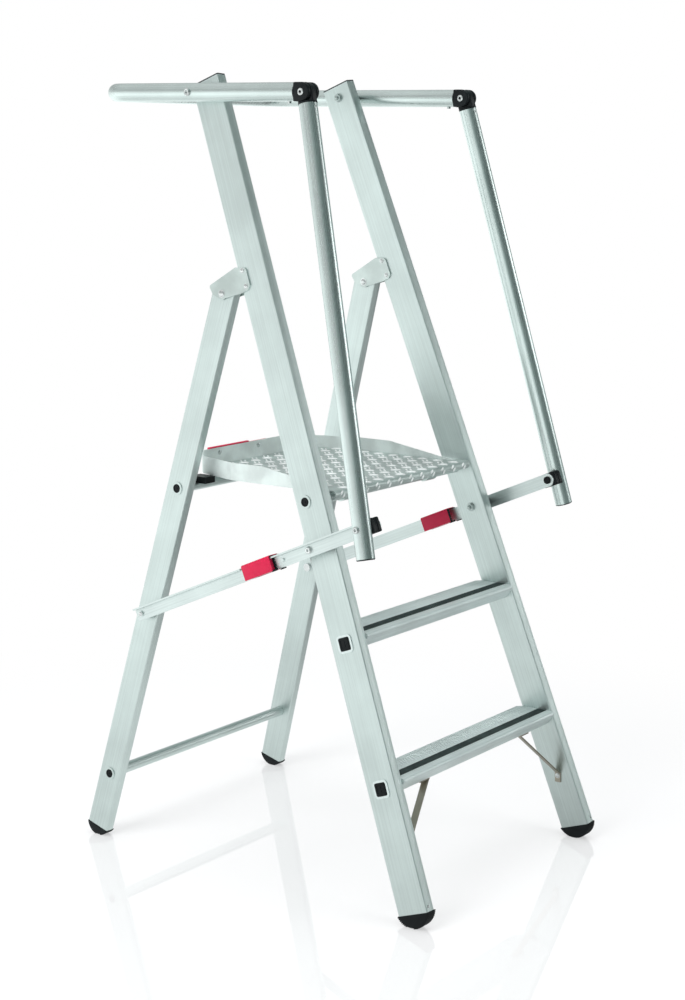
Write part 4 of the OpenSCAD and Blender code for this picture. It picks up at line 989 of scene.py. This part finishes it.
rail_face = rail_x + rail_r
stay_spots = on_both(as_it_stands, (web + 0.6, stay_y, stay_z))
bolts("stay_bolts", "stay_bolt_heads", stay_spots, 6.6, 4.4, "front_frame")
rail_spots = on_both(as_it_stands, (rail_face - 0.6, rail_y, rail_z))
bolts("rail_bolts", "rail_bolt_heads", rail_spots, 7.2, 4.6, "front_frame")
turned_round = on_rail @ at(rail_x, 0, 0) @ turn(pi, "Z") @ at(-rail_x, 0, 0)
knuckle_spots = (on_both(on_rail, (rail_face - 1.2, -rail_front, 0))
                 + on_both(turned_round, (rail_face - 1.2, rail_front, 0)))
bolts("knuckle_bolts", "knuckle_bolt_heads", knuckle_spots, 6.4, 3.2, "rail")
for side, flip in sides:
    gate_spot = [(flip, (gate_x + rail_r - 0.8, bolt_y, bolt_z))]
    bolts(side + "_gate_screw", side + "_gate_bolt_head", gate_spot, 6.4, 4.6, side + "_gate")

# %% [markdown]
# ## Red locks
# A red plastic sleeve slides over the joint of each stay and keeps it straight. It is an upside-down
# channel with well-rounded shoulders and a wall across its front end, beside the bar. A thin black
# insert lines the slot in that wall, with two small feet below. The section is drawn once, hollow
# side down, and pushed along the bar, which is simpler than cutting a block hollow.

# %% Red locks
sleeve_low, sleeve_top, sleeve_wall, sleeve_gap = -12.5, 13.3, 2.4, 0.8
sleeve_lap, sleeve_len, insert_len = 8.0, 68.0, 3.0
sleeve_left, sleeve_right = stay_x - sleeve_gap - sleeve_wall, web + flange_w + sleeve_gap + sleeve_wall
sleeve_from = stay_hinge + sleeve_lap - sleeve_len
flange = stay_w / 2 - stay_t - 0.4


def channel(left, right, low, top, wall, corner):
    """Points (height, across) of a channel that is open below, with rounded shoulders."""
    inner = max(0.4, corner - wall)
    over, under = top - corner, top - wall - inner
    near, far = left + wall, right - wall
    return [(low, left), *ring_points(corner, -pi / 2, 0, 5, (over, left + corner)),
            *ring_points(corner, 0, pi / 2, 5, (over, right - corner)), (low, right),
            (low, far), *ring_points(inner, pi / 2, 0, 4, (under, far - inner)),
            *ring_points(inner, 0, -pi / 2, 4, (under, near + inner)), (low, near)]


for side, flip in sides:
    home = to_metres @ flip @ on_stay @ along_y
    bm = bmesh.new()
    shell = channel(sleeve_left, sleeve_right, sleeve_low, sleeve_top + sleeve_wall, sleeve_wall, 3.6)
    push(bm, shell, sleeve_from, sleeve_from + sleeve_len, home, 0.5, 2)
    end_wall = oblong(sleeve_low, flange, web + 3.0, sleeve_right - 1)
    push(bm, end_wall, sleeve_from, sleeve_from + 3, home, 0.4, 1)
    stand_in(side + "_sleeve", side + "_red_lock", bm, red_moulding, side + "_lock", 30)
    bm = bmesh.new()
    for limits in ((sleeve_low + 0.3, flange, web + 0.4, web + 3.2),
                   (sleeve_low + 0.3, sleeve_top, stay_x - 2.8, stay_x - 0.4),
                   (stay_w / 2 + 0.4, sleeve_top + 0.9, sleeve_left + 1.0, sleeve_right - 1.0)):
        push(bm, oblong(*limits), sleeve_from - insert_len, sleeve_from + 2, home, 0.4, 1)
    for left in (sleeve_left + 0.4, sleeve_right - 3.4):
        small_foot = oblong(sleeve_low - 1.6, sleeve_low + 2, left, left + 3)
        push(bm, small_foot, sleeve_from - insert_len - 7, sleeve_from + 3, home, 0.5, 1)
    black_part(side + "_insert", side + "_lock_insert", bm, side + "_lock", 30)

# %% [markdown]
# ## Knuckles
# Where a hanging tube meets the rail, a moulded fork on the rail's end holds a tongue on the tube's
# end. Both are thick plates with one round end, well rounded over all edges, and a collar that sits
# on the tube. The plates are pushed outlines and the collars are turned.

# %% Knuckles
tongue_t, knuckle_gap, rail_stub, gate_stub = 14.0, 0.4, 18.0, 21.0


def knuckle_plate(reach, radius):
    """A round end at the bolt and a square end on the collar, along +Y."""
    return ring_points(radius, pi / 2, 3 * pi / 2, 18) + [(reach, -radius), (reach, radius)]


def collar(bm, home, high):
    lip = rail_r + 0.5
    lathe(bm, [(0, -1), (rail_r - 1, -1), (lip, 0), (lip, high - 0.6), (rail_r - 0.2, high), (0, high)],
          home, 40)


bm = bmesh.new()
for side, flip in sides:
    home = to_metres @ flip @ on_rail @ at(rail_x, -rail_front, 0)
    cheek = tongue_t / 2 + knuckle_gap
    for low, high in ((cheek, rail_r), (-rail_r, -cheek)):
        push(bm, knuckle_plate(rail_stub - 1, rail_r), low, high, home, 2.4, 3)
    collar(bm, home @ at(0, rail_stub, 0) @ turn(pi / 2, "X"), 3.4)
black_part("rail_knuckles", "rail_forks", bm, "rail")
for side, flip in sides:
    bm = bmesh.new()
    home = to_metres @ flip @ on_gate
    push(bm, knuckle_plate(gate_stub - 1, rail_r - 0.3), -tongue_t / 2, tongue_t / 2,
         home @ turn(-pi / 2, "X"), 2.0, 3)
    collar(bm, home @ at(0, 0, -gate_stub), 3.2)
    black_part(side + "_gate_knuckle", side + "_gate_tongue", bm, side + "_gate")

# %% [markdown]
# ## Blocks and caps on the hanging tubes
# Below, each tube is bolted to the front bar of the stay through a black moulded block that keeps
# the two apart, and a black nut closes the bolt on the bar's inner side. The block is three pushed
# outlines with generous rounding, the middle one a little smaller, so that a groove runs round it.
# It reaches a few millimetres into the tube, which hides the seam without cutting a hollow.

# %% Blocks and caps
block_long, block_high, block_from = 30.0, 26.0, web + 0.4
block_len, groove = gate_x - 9.0 - block_from, 0.9
for side, flip in sides:
    hub = to_metres @ flip @ at(block_from, bolt_y, bolt_z) @ turn(-stay_dip, "X")
    bm = bmesh.new()
    for low, high, less in ((0, 0.42, 0), (0.36, 0.58, groove), (0.52, 1, 0)):
        y, z = block_long / 2 - less, block_high / 2 - less
        push(bm, oblong(-y, y, -z, z), block_len * low, block_len * high, hub, 2.6 - less, 3)
    black_part(side + "_saddle", side + "_gate_block", bm, side + "_gate")
    bm = bmesh.new()
    lathe(bm, [(0, 3.4), (3.2, 3.4), (4.4, 4.4), (6.2, 4.0), (7.2, 2.6), (7.2, 0), (0, 0)],
          to_metres @ flip @ at(front_x, bolt_y, bolt_z) @ turn(-pi / 2, "Y"), 24)
    black_part(side + "_cap_nut", side + "_bar_nut", bm, side + "_front_stay")
    bm = bmesh.new()
    end, brim = -gate_len - gate_tail, rail_r - 0.1
    lathe(bm, [(0, end - 2), (brim - 1.3, end - 2), (brim, end - 1.1), (brim, end + 0.1), (0, end + 0.1)],
          to_metres @ flip @ on_gate, 36)
    black_part(side + "_gate_cap", side + "_tube_cap", bm, side + "_gate")

# %% [markdown]
# ## The red handle
# A red grip is riveted behind the toe board, with a lip that folds over the top edge where the hand
# pulls. Two pushed outlines with generous rounding make it, and the lip is shorter than the grip.

# %% Handle
grip_left, grip_lip, lip_h = grip_x - grip_len / 2, 116.0, 2.6
bm = bmesh.new()
back = deck_rear + grip_t
top = deck_z + toe_h
push(bm, oblong(deck_rear, back, top - grip_h, top), grip_left, grip_left + grip_len, to_metres, 1.4, 3)
fold = [(deck_rear - toe_t, top), (back, top - 2), (back, top + lip_h), (deck_rear - toe_t, top + lip_h)]
push(bm, fold, grip_left, grip_left + grip_lip, to_metres, 1.2, 3)
stand_in("platform_handle", "red_grip", bm, red_moulding, "platform")
